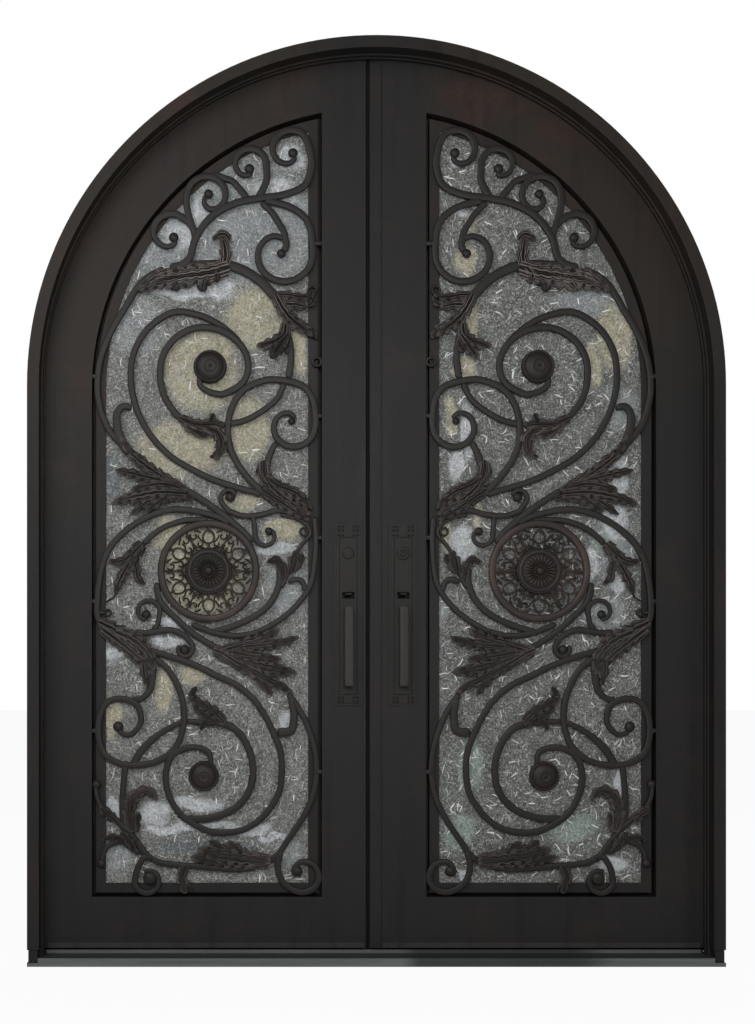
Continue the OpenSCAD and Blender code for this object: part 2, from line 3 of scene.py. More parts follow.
import bmesh
import bpy
import numpy as np
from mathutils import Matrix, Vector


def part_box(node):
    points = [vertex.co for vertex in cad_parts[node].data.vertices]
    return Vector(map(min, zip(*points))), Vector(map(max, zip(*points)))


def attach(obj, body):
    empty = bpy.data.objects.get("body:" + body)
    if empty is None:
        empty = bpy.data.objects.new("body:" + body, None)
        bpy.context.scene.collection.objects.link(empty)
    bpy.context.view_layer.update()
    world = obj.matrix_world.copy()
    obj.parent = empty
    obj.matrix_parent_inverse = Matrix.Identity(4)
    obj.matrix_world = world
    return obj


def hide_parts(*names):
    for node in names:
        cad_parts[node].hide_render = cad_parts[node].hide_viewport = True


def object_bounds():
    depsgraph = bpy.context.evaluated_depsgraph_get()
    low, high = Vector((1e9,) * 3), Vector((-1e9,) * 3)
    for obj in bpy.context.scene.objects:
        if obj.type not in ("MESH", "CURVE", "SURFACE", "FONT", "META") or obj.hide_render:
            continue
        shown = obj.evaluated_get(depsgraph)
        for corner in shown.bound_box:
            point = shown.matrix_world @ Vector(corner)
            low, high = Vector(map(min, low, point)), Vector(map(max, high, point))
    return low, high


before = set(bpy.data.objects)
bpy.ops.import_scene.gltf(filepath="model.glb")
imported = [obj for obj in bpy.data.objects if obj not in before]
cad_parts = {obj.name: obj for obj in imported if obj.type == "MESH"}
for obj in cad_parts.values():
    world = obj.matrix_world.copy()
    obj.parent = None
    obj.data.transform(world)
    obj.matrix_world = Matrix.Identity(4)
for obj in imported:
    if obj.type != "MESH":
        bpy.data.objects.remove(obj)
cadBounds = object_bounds()
print("frame loaded:", len(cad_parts), "nodes")

# Shapes are worked out in millimetres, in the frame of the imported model, and become metres in makePiece
mm = 0.001
mergeWithin = 0.003
unitHalf = cadBounds[1][0] / mm
springHeight = cadBounds[1][2] / mm - unitHalf


def boxOf(node):
    # Lowest and highest corner of a node, in millimetres
    return [np.array(corner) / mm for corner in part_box(node)]


# A surface is a pair: its points, and its quads as rows of four point numbers

def gridPoints(x, y, z):
    # Points of a grid from its coordinates, each given for every row, every column or every point
    return np.stack(np.broadcast_arrays(x, y, z), -1).reshape(-1, 3)


def gridQuads(rows, cols, wrapped=False):
    # Quads between neighbouring points of a grid; with wrapped, the last column joins the first
    r = np.arange(rows - 1)[:, None]
    c = np.arange(cols if wrapped else cols - 1)[None, :]
    after = (c + 1) % cols
    corners = [r * cols + c, r * cols + after, (r + 1) * cols + after, (r + 1) * cols + c]
    return np.stack(np.broadcast_arrays(*corners), -1).reshape(-1, 4)


def joined(surfaces):
    # One surface from several: the quads of each count on from the points before it
    starts = np.cumsum([0] + [len(points) for points, quads in surfaces])
    return (np.concatenate([points for points, quads in surfaces]),
            np.concatenate([quads + start for (points, quads), start in zip(surfaces, starts)]))


def mirroredAt(surface, axis, place):
    # The surface mirrored at a plane across one axis, with its quads turned round
    points, quads = surface
    points = points.copy()
    points[:, axis] = 2 * place - points[:, axis]
    return points, quads[:, ::-1]


def moved(surface, shift):
    return surface[0] + np.array(shift, float), surface[1]


def volute(centre, r0, r1, a0, a1, n=12):
    # Points of a scroll from its eye outwards: radius r1 + (r0 - r1)(1 - t)^4 while the angle runs a0 to a1
    t = np.linspace(0, 1, n + 1)
    r = r1 + (r0 - r1) * (1 - t) ** 4
    a = np.radians(a0 + (a1 - a0) * t)
    return np.stack([centre[0] + r * np.cos(a), centre[1] + r * np.sin(a)], -1).tolist()


def curveThrough(points, perSpan=16):
    # Smooth curve through chosen points: on each span a cubic, whose slope at a point is half the step
    # between that point's two neighbours
    p = np.array(points, float)
    p = np.concatenate([p[:1], p, p[-1:]])
    a, b, c, d = (p[i:len(p) - 3 + i, None] for i in range(4))
    t = np.linspace(0, 1, perSpan, endpoint=False)[None, :, None]
    spans = b + 0.5 * t * (c - a + t * (2 * a - 5 * b + 4 * c - d + t * (3 * (b - c) + d - a)))
    return np.concatenate([spans.reshape(-1, p.shape[1]), p[-1:]])


def measured(curve):
    # Distance of each point of a curve from its start
    return np.concatenate([[0], np.cumsum(np.linalg.norm(np.diff(curve, axis=0), axis=1))])


def pointsAt(curve, stations):
    # Points of a curve at given distances from its start
    along = measured(curve)
    return np.stack([np.interp(stations, along, curve[:, i]) for i in range(curve.shape[1])], -1)


def roundedStations(length, endLength, step):
    # Distances along a bar, closer together at both ends, and there the share of its full size:
    # a quarter of a circle over the end's length
    bend = np.radians([0, 18, 36, 54, 72])
    ends = endLength * (1 - np.cos(bend))
    middle = np.linspace(endLength, length - endLength, max(int(length / step), 3))
    stations = np.concatenate([ends, middle, length - ends[::-1]])
    share = np.concatenate([np.sin(bend), np.ones(len(middle)), np.sin(bend)[::-1]])
    return stations, share


def rounded(wave, power):
    # The size of a sine or cosine raised to a power, with its sign kept
    return np.sign(wave) * np.abs(wave) ** power


def sweep(path, fixed, fixedHalf, otherHalf, sides=12, roundness=0.7):
    # Section carried along a path: at angle a it stands fixedHalf * sin(a)^roundness along the fixed
    # direction and otherHalf * cos(a)^roundness square to it and to the path. The angles start a hair
    # off the axes.
    fixed = np.array(fixed, float)
    other = np.cross(fixed, np.gradient(path, axis=0))
    other /= np.linalg.norm(other, axis=1)[:, None]
    a = np.linspace(0, 2 * np.pi, sides, endpoint=False) + 1e-4
    wide = np.broadcast_to(otherHalf, len(path))[:, None] * rounded(np.cos(a), roundness)
    deep = np.broadcast_to(fixedHalf, len(path))[:, None] * rounded(np.sin(a), roundness)
    wide, deep = wide[..., None] * other[:, None], deep[..., None] * fixed
    return (path[:, None] + wide + deep).reshape(-1, 3), gridQuads(len(path), sides, True)


def flatBar(points, w0, w1, depth, middle, step=5, sides=12, roundness=0.7, swell=120):
    # Forged bar in a plane across Y: width w0 to w1 over the swell's length, ends rounded
    curve = curveThrough(points)
    length = measured(curve)[-1]
    stations, share = roundedStations(length, min(max(w0, w1) / 2, length / 3), step)
    x, z = pointsAt(curve, stations).T
    half = (w0 + (w1 - w0) * np.clip(stations / swell, 0, 1)) / 2 * share
    path = np.stack([x, np.full(len(x), middle), z], -1)
    return sweep(path, (0, 1, 0), depth / 2 * share ** 0.5, half, sides, roundness)


def turned(centre, profile, sectors=48, ripple=None):
    # Solid turned about an axis along Y: profile holds (radius, depth), and ripple(radius, angle) is
    # added to the depth
    radius, depth = (np.array(column, float)[:, None] for column in zip(*profile))
    a = np.linspace(0, 2 * np.pi, sectors, endpoint=False)[None, :]
    y = depth + (ripple(radius, a) if ripple else 0)
    points = gridPoints(centre[0] + radius * np.cos(a), y, centre[1] + radius * np.sin(a))
    return points, gridQuads(len(profile), sectors, True)


def ringProfile(radius, width, near, far, roundness=0.7, n=16):
    # Closed outline of a ring's section, from a front depth to a back depth
    a = np.linspace(0, 2 * np.pi, n + 1)
    across = radius + width / 2 * rounded(np.cos(a), roundness)
    return list(zip(across, (near + far) / 2 + (far - near) / 2 * rounded(np.sin(a), roundness)))


def relief(patches):
    # Stepped plate with its back at Y 0: patches are (x0, x1, z0, z1, height), later ones over earlier
    # ones, and height 0 is a hole. Every cell between the patches' edges has a front and a back, and a
    # wall stands wherever two neighbouring cells differ.
    patches = np.array(patches, float)
    xs, zs = np.unique(patches[:, :2]), np.unique(patches[:, 2:4])
    midX, midZ = (xs[1:] + xs[:-1])[:, None] / 2, (zs[1:] + zs[:-1])[None, :] / 2
    height = np.zeros((len(xs) + 1, len(zs) + 1))
    for x0, x1, z0, z1, h in patches:
        inside = (midX > x0) & (midX < x1) & (midZ > z0) & (midZ < z1)
        height[1:-1, 1:-1][inside] = h
    i, j = np.nonzero(height[1:-1, 1:-1])
    h = height[i + 1, j + 1]
    corners = [(0, 0), (1, 0), (1, 1), (0, 1)]
    front = np.stack([np.stack([xs[i + a], -h, zs[j + b]], -1) for a, b in corners], 1)
    back = front[:, ::-1] * (1, 0, 1)
    walls = []
    for axis, edges, others in ((0, xs, zs), (1, zs, xs)):
        table = height if axis == 0 else height.T
        low, high = table[:-1, 1:-1], table[1:, 1:-1]
        i, j = np.nonzero(low != high)
        a, b = -low[i, j], -high[i, j]
        quad = [(edges[i], a, others[j]), (edges[i], b, others[j]),
                (edges[i], b, others[j + 1]), (edges[i], a, others[j + 1])]
        quad = np.stack([np.stack(corner, -1) for corner in quad], 1)
        walls.append(quad if axis == 0 else quad[:, ::-1, ::-1])
    points = np.concatenate([front, back] + walls).reshape(-1, 3)
    return points, np.arange(len(points)).reshape(-1, 4)


def standOut(mesh, rounds):
    # How far each point stands out along its normal, in millimetres, from where it goes when it is
    # moved half way to the average of its neighbours, round after round
    n = len(mesh.vertices)
    points, normals = np.empty((2, n, 3), np.float32)
    ends = np.empty(len(mesh.edges) * 2, np.int32)
    mesh.vertices.foreach_get("co", points.ravel())
    mesh.vertices.foreach_get("normal", normals.ravel())
    mesh.edges.foreach_get("vertices", ends)
    one, two = ends.reshape(-1, 2).T
    count = np.bincount(ends, minlength=n)
    soft = points.astype(float)
    for _ in range(rounds):
        mean = [np.bincount(one, axis[two], n) + np.bincount(two, axis[one], n) for axis in soft.T]
        soft = (soft + np.stack(mean, -1) / count[:, None]) / 2
    return ((points - soft) * normals).sum(1) / mm


def keepNumbers(mesh, name, numbers):
    # One number for each point, kept for a finish
    mesh.attributes.new(name, "FLOAT", "POINT").data.foreach_set("value", numbers.astype(np.float32))


def makePiece(name, surface, body, finish, slotName, stands=(), settle=True, marks=None, sharp=40,
              proud=0):
    # Puts a surface into a mesh, merges its doubles, and turns its faces outwards where settle is on.
    # marks are the points' numbers for the finish, sharp is the angle from which an edge isn't smoothed,
    # and proud is the number of rounds for the numbers that tell ridges from hollows.
    points, quads = surface
    mesh = bpy.data.meshes.new(name)
    mesh.vertices.add(len(points))
    mesh.vertices.foreach_set("co", (points * mm).astype(np.float32).ravel())
    mesh.loops.add(quads.size)
    mesh.loops.foreach_set("vertex_index", quads.astype(np.int32).ravel())
    mesh.polygons.add(len(quads))
    mesh.polygons.foreach_set("loop_start", np.arange(0, quads.size, 4, dtype=np.int32))
    mesh.update(calc_edges=True)
    if marks is not None:
        keepNumbers(mesh, "mark", marks)
    shell = bmesh.new()
    shell.from_mesh(mesh)
    bmesh.ops.remove_doubles(shell, verts=shell.verts, dist=mergeWithin * mm)
    if settle:
        bmesh.ops.recalc_face_normals(shell, faces=shell.faces)
    shell.to_mesh(mesh)
    shell.free()
    mesh.polygons.foreach_set("use_smooth", np.ones(len(mesh.polygons), bool))
    mesh.set_sharp_from_angle(angle=math.radians(sharp))
    mesh.materials.append(finish)
    if proud:
        keepNumbers(mesh, "proud", standOut(mesh, proud))
    piece = bpy.data.objects.new(name, mesh)
    bpy.context.scene.collection.objects.link(piece)
    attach(piece, body)
    if stands:
        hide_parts(*stands)
    print("made", name, len(mesh.polygons), "faces")


class Wire:
    # A socket that can stand in arithmetic: each operator adds a Math node
    def __init__(self, tree, socket):
        self.tree, self.socket = tree, socket

    def __add__(self, other):
        return self.tree.math("ADD", self, other)

    def __sub__(self, other):
        return self.tree.math("SUBTRACT", self, other)

    def __rsub__(self, other):
        return self.tree.math("SUBTRACT", other, self)

    def __mul__(self, other):
        return self.tree.math("MULTIPLY", self, other)

    def __abs__(self):
        return self.tree.math("ABSOLUTE", self)

    __radd__, __rmul__ = __add__, __mul__


class NodeTree:
    # A tree of nodes, emptied first; node() adds the nodes, and the rest are short names for some kinds
    def __init__(self, tree):
        self.tree = tree
        tree.nodes.clear()

    def node(self, kind, settings=None, sockets=None, out=0):
        # Adds a node: its settings first, then the values or wires of its sockets
        made = self.tree.nodes.new("ShaderNode" + kind)
        for key, value in (settings or {}).items():
            setattr(made, key, value)
        for key, value in (sockets or {}).items():
            if isinstance(value, Wire):
                self.tree.links.new(value.socket, made.inputs[key])
            else:
                made.inputs[key].default_value = value
        return Wire(self, made.outputs[out])

    def math(self, operation, *values):
        return self.node("Math", {"operation": operation}, dict(enumerate(values)))

    def place(self):
        # Object coordinates in metres
        return self.node("TexCoord", out="Object")

    def stretched(self, scale):
        return self.node("Mapping", sockets={"Vector": self.place(), "Scale": scale})

    def axis(self, letter, vector=None):
        # One of a vector's three numbers, and of the object coordinates where none is given
        return self.node("SeparateXYZ", sockets={"Vector": vector or self.place()}, out=letter)

    def noise(self, scale, detail=3, roughness=0.5, distortion=0, where=None):
        return self.node("TexNoise", sockets={
            "Vector": where or self.place(), "Scale": scale, "Detail": detail, "Roughness": roughness,
            "Distortion": distortion})

    def step(self, value, low, high):
        # 0 below low, 1 above high and a smooth rise between them
        return self.node("MapRange", {"interpolation_type": "SMOOTHSTEP"},
                         {"Value": value, "From Min": low, "From Max": high})

    def blend(self, first, second, share, kind="MIX"):
        return self.node("Mix", {"data_type": "RGBA", "blend_type": kind}, {0: share, 6: first, 7: second}, 2)

    def bump(self, height, depth, strength=1, normal=None):
        sockets = {"Height": height, "Distance": depth, "Strength": strength}
        if normal:
            sockets["Normal"] = normal
        return self.node("Bump", sockets=sockets)


class Finish(NodeTree):
    # A material with one Principled shader; use() sets its sockets
    def __init__(self, name):
        self.material = bpy.data.materials.new(name)
        self.material.use_nodes = True
        super().__init__(self.material.node_tree)
        self.shader = self.tree.nodes.new("ShaderNodeBsdfPrincipled")
        self.output = self.tree.nodes.new("ShaderNodeOutputMaterial")
        self.tree.links.new(self.shader.outputs[0], self.output.inputs[0])

    def use(self, **sockets):
        names = {"color": "Base Color", "specular": "Specular IOR Level", "ior": "IOR",
                 "transmission": "Transmission Weight"}
        for key, value in sockets.items():
            name = names.get(key, key.title())
            if isinstance(value, Wire):
                self.tree.links.new(value.socket, self.shader.inputs[name])
            else:
                self.shader.inputs[name].default_value = value
        return self.material


def shade(r, g, b):
    return (r, g, b, 1)


def ironFinish(name, look):
    # Dark painted iron: patches of red-brown, faint upright streaks, and worn, slightly rounded edges.
    # It weathers brown up in the arch, and stays nearly black at the meeting stiles and low down.
    f = Finish(name)
    soft = f.node("Bevel", {"samples": 4}, {"Radius": look["edge"]})
    flat = f.node("NewGeometry", out="Normal")
    turn = 1 - f.node("VectorMath", {"operation": "DOT_PRODUCT"}, {0: soft, 1: flat}, "Value")
    edge = f.step(turn, 0.02, 0.22)
    patches = f.step(f.noise(look["patchScale"], 5, 0.6, 0.8), 0.48, 0.72)
    streaks = f.step(f.noise(1, 4, 0.6, where=f.stretched(look["streakScale"])), 0.45, 0.75)
    grain = f.noise(look["grainScale"], 3, 0.6)
    x = f.axis("X")
    height = f.axis("Z") - look["lean"] * x + 0.5 * (f.noise(look["cloudScale"], 3, 0.6) - 0.5)
    weather = f.step(height, *look["brownFrom"]) * f.step(abs(x), *look["stiles"])
    color = f.blend(look["base"], look["brown"], weather)
    color = f.blend(color, look["dark"], streaks * 0.6)
    rust = patches * (0.35 + 0.65 * f.step(grain, 0.35, 0.7)) * (0.35 + 0.65 * weather)
    color = f.blend(color, look["rust"], rust * look["rustShare"])
    color = f.blend(color, look["worn"], edge * f.step(grain + patches * 0.2, 0.3, 0.6) * look["wornShare"])
    peel = f.noise(look["peelScale"], 2, 0.5) + f.noise(look["waveScale"], 2, 0.5) * 1.5
    return f.use(color=color, roughness=look["rough"] + 0.2 * grain - 0.1 * streaks,
                 specular=look["shine"], normal=f.bump(peel, look["peelDepth"], 0.5, soft))


def forgedFinish(name, look):
    # Forged iron: brown-black, with painted shade darkening the hollows, copper-brown on what stands out,
    # partly rubbed wear and partly painted highlight, and a fine hammered skin. Where the points carry fold
    # numbers, each fold gets a painted highlight on top, and painted shade and a duller surface in the
    # groove beside it.
    f = Finish(name)
    out = f.node("Attribute", {"attribute_name": "proud"}, out="Fac")
    raisedWearAndHighlight = f.step(out, *look["raisedWearAndHighlight"])
    hollowShade = 1 - f.step(out, *look["hollowShade"])
    patches = f.step(f.noise(look["patchScale"], 5, 0.6, 0.5), 0.42, 0.66)
    grain = f.noise(look["grainScale"], 3, 0.6)
    color = f.blend(look["base"], look["rust"], patches * (0.3 + 0.7 * grain) * look["rustShare"])
    # copper-brown on raised parts: partly rubbed wear, partly a painted highlight
    color = f.blend(color, look["worn"], raisedWearAndHighlight * (0.3 + 0.7 * patches) * look["wornShare"])
    # painted shade: the hollows are darkened towards near black
    color = f.blend(color, look["dark"], hollowShade * 0.85)
    fold = f.node("Attribute", {"attribute_name": "mark"}, out="Fac")
    vein = abs(f.math("SINE", fold * math.pi))
    groove = (1 - f.step(vein, 0.15, 0.75)) * look["veinShare"]
    top = f.step(vein, 0.6, 1) * (0.15 + 0.85 * raisedWearAndHighlight) * look["veinShare"]
    # painted highlight: the top of each fold is made pale
    color = f.blend(color, look["worn"], top)
    # painted shade: the groove beside each fold is darkened, and made duller through the roughness
    color = f.blend(color, look["dark"], groove)
    dents, pores = (f.noise(scale, 2, 0.5) for scale in look["skinScales"])
    skin = dents + pores * 0.4 + vein * look["veinHigh"]
    return f.use(color=color, roughness=look["rough"] + 0.2 * grain + 0.4 * groove,
                 specular=look["shine"], normal=f.bump(skin, look["skinDepth"], 0.5))


def sillFinish(name, look):
    # Bare grey metal, dusty along its front, darker over a span right of the middle, and with painted shadow
    # darkening its top faces
    f = Finish(name)
    x = f.axis("X")
    up = f.axis("Z", f.node("NewGeometry", out="Normal"))
    grain = f.noise(look["grainScale"], 3, 0.6)
    streaks = f.noise(1, 4, 0.6, where=f.stretched(look["streakScale"]))
    # a span right of the middle is made darker
    start, end, fade = look["darkerSpan"]
    darkerSpan = f.step(x, start, start + fade) * (1 - f.step(x, end, end + 2 * fade))
    color = f.blend(look["base"], look["dust"], f.step(streaks, 0.35, 0.7) * 0.6)
    color = f.blend(color, look["dark"], darkerSpan * (0.75 + 0.25 * grain))
    # painted shadow: faces that look upwards are darkened
    color = f.blend(color, look["dark"], f.step(up, 0.5, 0.9) * (0.7 + 0.3 * grain))
    return f.use(color=color, roughness=look["rough"] + 0.2 * grain, specular=look["shine"],
                 normal=f.bump(grain, look["grainDepth"], 0.5))


def glassFinish(name, look, lightPatches):
    # Obscure cast glass: patches with wandering edges of painted reflections and painted light, a mottled
    # crackle over all of it, and short pale lines where a noise passes through its middle value. Patches are
    # (x, z, half width, half height) in millimetres.
    f = Finish(name)
    where = f.place()
    drift, scales = look["drift"], look["scales"]
    wander = f.node("TexNoise", sockets={"Vector": where, "Scale": scales["wander"], "Detail": 3},
                    out="Color")
    shifted = f.node("VectorMath", {"operation": "MULTIPLY_ADD"},
                     {0: wander, 1: (drift, drift, drift), 2: where})
    mottle = f.noise(scales["mottle"], 4, 0.7, 1.6)

    def near(places):
        # 1 inside ellipses, 0 outside
        nearest = None
        for x, z, wide, high in np.array(places) * mm:
            at = f.node("Mapping", sockets={
                "Vector": shifted, "Scale": (1 / wide, 0, 1 / high),
                "Location": (-(x + drift / 2) / wide, 0, -(z + drift / 2) / high)})
            away = f.node("VectorMath", {"operation": "LENGTH"}, {0: at}, "Value")
            nearest = f.math("MINIMUM", nearest, away) if nearest else away
        return 1 - f.step(nearest + 0.7 * (mottle - 0.5), 0.7, 1.15)

    # the right pane's base tone is darker than the left's: painted shade on the same glass
    color = f.blend(look["left"], look["right"], f.step(f.axis("X", where), -0.01, 0.01))
    paintedLightShare = None
    for patchTone, places in lightPatches.items():
        share = near(places)
        color = f.blend(color, look[patchTone], share)
        paintedLightShare = f.math("MAXIMUM", paintedLightShare, share) if paintedLightShare else share
    crackle = f.step(mottle, 0.34, 0.66)
    cloud = f.noise(scales["cloud"], 3, 0.6, 1.0)
    tone = 1 + (crackle - 0.58) * (0.9 - 0.4 * paintedLightShare) + 0.6 * (cloud - 0.5)
    color = f.blend(color, tone, 1, "MULTIPLY")
    fine = f.noise(scales["grain"], 3, 0.75, 0.6)
    grains = f.step(fine, 0.50, 0.58) * (1 - 0.4 * paintedLightShare)
    color = f.blend(color, look["black"], grains * look["grainShare"])
    flecks = f.step(f.noise(scales["fleck"], 2, 0.7, 0.8), 0.56, 0.62)
    color = f.blend(color, look["white"], flecks * look["fleckShare"])
    worms = abs(f.noise(scales["line"], 1, 0.5, 1.8) - 0.5)
    pale = (1 - f.step(worms, 0.008, 0.03)) * f.step(f.noise(scales["lineField"], 2, 0.5), 0.47, 0.57)
    color = f.blend(color, look["white"], pale * look["lineShare"])
    height = fine + pale + 1.5 * mottle
    return f.use(color=color, roughness=look["rough"] + 0.25 * fine, specular=look["shine"],
                 ior=look["ior"], transmission=look["clear"], normal=f.bump(height, look["relief"], 0.9))


def ridgeFinish(name, look):
    # Ridges of the glass: each one's own shade between grey and near white
    f = Finish(name)
    own = f.node("Attribute", {"attribute_name": "mark"}, out="Fac")
    return f.use(color=f.blend(look["grey"], look["white"], own), specular=look["shine"], ior=look["ior"],
                 roughness=look["rough"] + 0.1 * f.noise(look["roughScale"]), transmission=look["clear"],
                 normal=f.bump(f.noise(look["skinScale"]), look["skinDepth"]))


# Colours are linear. Scales are those of noises over metres, depths and the edge's radius are in metres,
# and a pair of numbers is where a rise starts and ends.
ironLook = {
    "base": shade(0.0150, 0.0140, 0.0135), "dark": shade(0.0085, 0.0082, 0.0082),
    "rust": shade(0.044, 0.021, 0.017), "worn": shade(0.060, 0.046, 0.038),
    "brown": shade(0.0220, 0.0172, 0.0135), "rustShare": 0.75, "wornShare": 0.55, "rough": 0.42,
    "shine": 0.16, "edge": 0.0016, "patchScale": 5.5, "streakScale": (22, 22, 1.6), "grainScale": 90,
    "lean": 0.2, "cloudScale": 3, "brownFrom": (1.15, 1.9), "stiles": (0.10, 0.22),
    "peelScale": 260, "waveScale": 38, "peelDepth": 0.0004,
}
leafLook = dict(ironLook, base=shade(0.0148, 0.0145, 0.0143))
# In the forged looks, the hollows' range sets where painted shade darkens the hollows, and the ridges' range
# where raised parts turn copper-brown, partly as wear and partly as painted highlight
scrollLook = {
    "base": shade(0.0150, 0.0126, 0.0112), "dark": shade(0.0030, 0.0026, 0.0024),
    "rust": shade(0.031, 0.018, 0.015), "worn": shade(0.070, 0.046, 0.038), "rustShare": 0.45,
    "wornShare": 0.7, "rough": 0.36, "shine": 0.22, "raisedWearAndHighlight": (0.05, 0.5), "hollowShade": (-0.35, -0.02),
    "veinShare": 0, "veinHigh": 0, "patchScale": 5, "grainScale": 160, "skinScales": (110, 420),
    "skinDepth": 0.0012,
}
# veinShare sets how much painted shade fills the fold grooves and painted highlight lies on the fold tops
veinedLook = dict(scrollLook, base=shade(0.0105, 0.0092, 0.0086), worn=shade(0.135, 0.115, 0.104),
                  rough=0.32, shine=0.25, veinShare=0.85, veinHigh=1.3)
barLook = dict(scrollLook, base=shade(0.0140, 0.0130, 0.0122), rustShare=0.3, wornShare=0.3,
               worn=shade(0.034, 0.029, 0.025), raisedWearAndHighlight=(0.3, 1.2), hollowShade=(-1.5, -0.5))
plateLook = dict(ironLook, base=shade(0.0205, 0.0196, 0.0186), brown=shade(0.0205, 0.0196, 0.0186),
                 dark=shade(0.0080, 0.0076, 0.0072), rust=shade(0.030, 0.024, 0.020),
                 worn=shade(0.075, 0.067, 0.060), rustShare=0.5, wornShare=0.6, rough=0.40, shine=0.13,
                 edge=0.0010)
gripLook = dict(plateLook, base=shade(0.038, 0.036, 0.033), dark=shade(0.017, 0.016, 0.015),
                rust=shade(0.045, 0.036, 0.028), worn=shade(0.120, 0.110, 0.095), edge=0.0014)
stripLook = dict(ironLook, base=shade(0.0300, 0.0300, 0.0300), rustShare=0.3)
sillLook = {
    "base": shade(0.085, 0.088, 0.088), "dust": shade(0.150, 0.155, 0.152),
    "dark": shade(0.022, 0.024, 0.024), "rough": 0.35, "shine": 0.4, "darkerSpan": (0.06, 0.52, 0.06),
    "grainScale": 90, "grainDepth": 0.0004, "streakScale": (3, 40, 60),
}
rubberLook = dict(ironLook, base=shade(0.009, 0.009, 0.009), dark=shade(0.005, 0.005, 0.005),
                  rust=shade(0.020, 0.018, 0.016), rustShare=0.1, wornShare=0.1, rough=0.7, shine=0.15)
glassLook = {
    # left and right are the same glass, the right one darker by painted shade
    "left": shade(0.156, 0.160, 0.148), "right": shade(0.115, 0.121, 0.111),
    # beige, cool, pale, green and slate are painted reflections, laid on the panes in patches
    "beige": shade(0.385, 0.350, 0.235), "cream": shade(0.560, 0.515, 0.360),
    "cool": shade(0.235, 0.254, 0.262), "pale": shade(0.540, 0.565, 0.590),
    "green": shade(0.215, 0.280, 0.248), "slate": shade(0.090, 0.108, 0.116),
    "black": shade(0.022, 0.026, 0.023), "white": shade(0.780, 0.790, 0.760),
    "drift": 0.06, "grainShare": 0.85, "fleckShare": 0.5, "lineShare": 0.6, "clear": 0.15, "rough": 0.3,
    "shine": 0.5, "ior": 1.5, "relief": 0.0016,
    "scales": {"wander": 12, "mottle": 62, "cloud": 16, "grain": 185, "fleck": 230, "line": 46,
               "lineField": 34},
}
ridgeLook = {
    "grey": shade(0.16, 0.165, 0.155), "white": shade(0.95, 0.95, 0.92), "rough": 0.25, "shine": 0.5,
    "ior": 1.5, "clear": 0.15, "roughScale": 300, "skinScale": 400, "skinDepth": 0.0004,
}
# Patches of painted reflections on the panes, and one of painted light, as glassFinish takes them; those left
# of the middle are on the left pane
paintedLightPatches = {
    "cool": [(-420, 1970, 330, 190), (-640, 1700, 80, 80), (-686, 284, 45, 50),
             (-224, 290, 34, 34), (-700, 850, 34, 60), (-230, 1000, 60, 90), (580, 1757, 120, 40),
             (657, 1480, 45, 60), (175, 960, 40, 60), (616, 930, 70, 45), (640, 1100, 60, 110)],
    "green": [(256, 522, 34, 82), (229, 345, 42, 50), (520, 352, 75, 42), (616, 1120, 36, 28)],
    "slate": [(-440, 306, 150, 24), (-700, 1290, 40, 60)],
    "beige": [(-317, 1718, 80, 90), (-463, 1578, 115, 115), (-516, 1373, 120, 80), (-337, 1419, 70, 90),
              (-200, 1640, 26, 85), (-355, 1227, 62, 25), (-544, 1140, 45, 55), (-245, 1146, 55, 35),
              (-564, 726, 28, 75), (-482, 762, 45, 20), (-700, 658, 22, 65),
              (246, 1870, 34, 48), (259, 1963, 18, 38), (250, 1711, 24, 82), (239, 1585, 34, 32),
              (206, 1460, 24, 55), (644, 1665, 44, 110), (587, 1592, 22, 72), (188, 1145, 20, 42),
              (271, 1190, 14, 45)],
    # painted light: brightens the glass in the openings of the left leaf's rosette
    "cream": [(-462, 1041, 118, 125)],
    "pale": [(-500, 1790, 110, 20), (-405, 1800, 40, 40), (-522, 1936, 40, 36), (-462, 1990, 26, 60),
             (-257, 2060, 60, 28), (-217, 2150, 36, 36), (-258, 1099, 60, 14), (-545, 905, 34, 14),
             (-550, 856, 50, 18), (-700, 821, 26, 14), (-238, 644, 22, 34), (-585, 392, 50, 36),
             (-476, 420, 80, 20), (-700, 413, 22, 38), (-544, 350, 80, 12), (-440, 362, 85, 12),
             (-340, 350, 75, 12), (-268, 328, 55, 12), (223, 2149, 18, 27), (239, 2046, 24, 11),
             (236, 1996, 22, 11), (250, 1415, 18, 80), (223, 1320, 26, 48), (657, 1287, 30, 62),
             (236, 1115, 46, 44),
             (650, 1174, 34, 48), (582, 1059, 18, 48), (650, 1031, 26, 50), (657, 467, 16, 60),
             (664, 345, 10, 26), (640, 257, 44, 26), (243, 236, 15, 18)],
}

frameIron = ironFinish("frameIron", ironLook)
leafIron = ironFinish("leafIron", leafLook)
castIron = forgedFinish("castIron", scrollLook)
veinedIron = forgedFinish("veinedIron", veinedLook)
barIron = forgedFinish("barIron", barLook)
plateIron = ironFinish("plateIron", plateLook)
gripIron = ironFinish("gripIron", gripLook)
stripIron = ironFinish("stripIron", stripLook)
sillMetal = sillFinish("sillMetal", sillLook)
rubber = ironFinish("rubber", rubberLook)
castGlass = glassFinish("castGlass", glassLook, paintedLightPatches)
glassRidge = ridgeFinish("glassRidge", ridgeLook)


def coverNodes(finish, *names):
    for name in names:
        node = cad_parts[name]
        if not node.material_slots:
            node.data.materials.append(finish)
        for slot in node.material_slots:
            slot.material = finish


coverNodes(frameIron, "left_jamb", "right_jamb", "left_head", "right_head", "left_stop", "right_stop",
           "head_stop", "frame_feet", "hinge_seats")
coverNodes(sillMetal, "sill", "threshold_strip")
coverNodes(rubber, "meeting_seal")
coverNodes(leafIron, "astragal")
leafParts = ("_hinge_stile", "_lock_stile", "_bottom_rail", "_arch_rail", "_glass_frame", "_hinge_barrels")
for side in ("left", "right"):
    coverNodes(leafIron, *(side + part for part in leafParts))
    coverNodes(stripIron, side + "_drip_strip")
    coverNodes(castGlass, side + "_glass")
print("finishes ready")

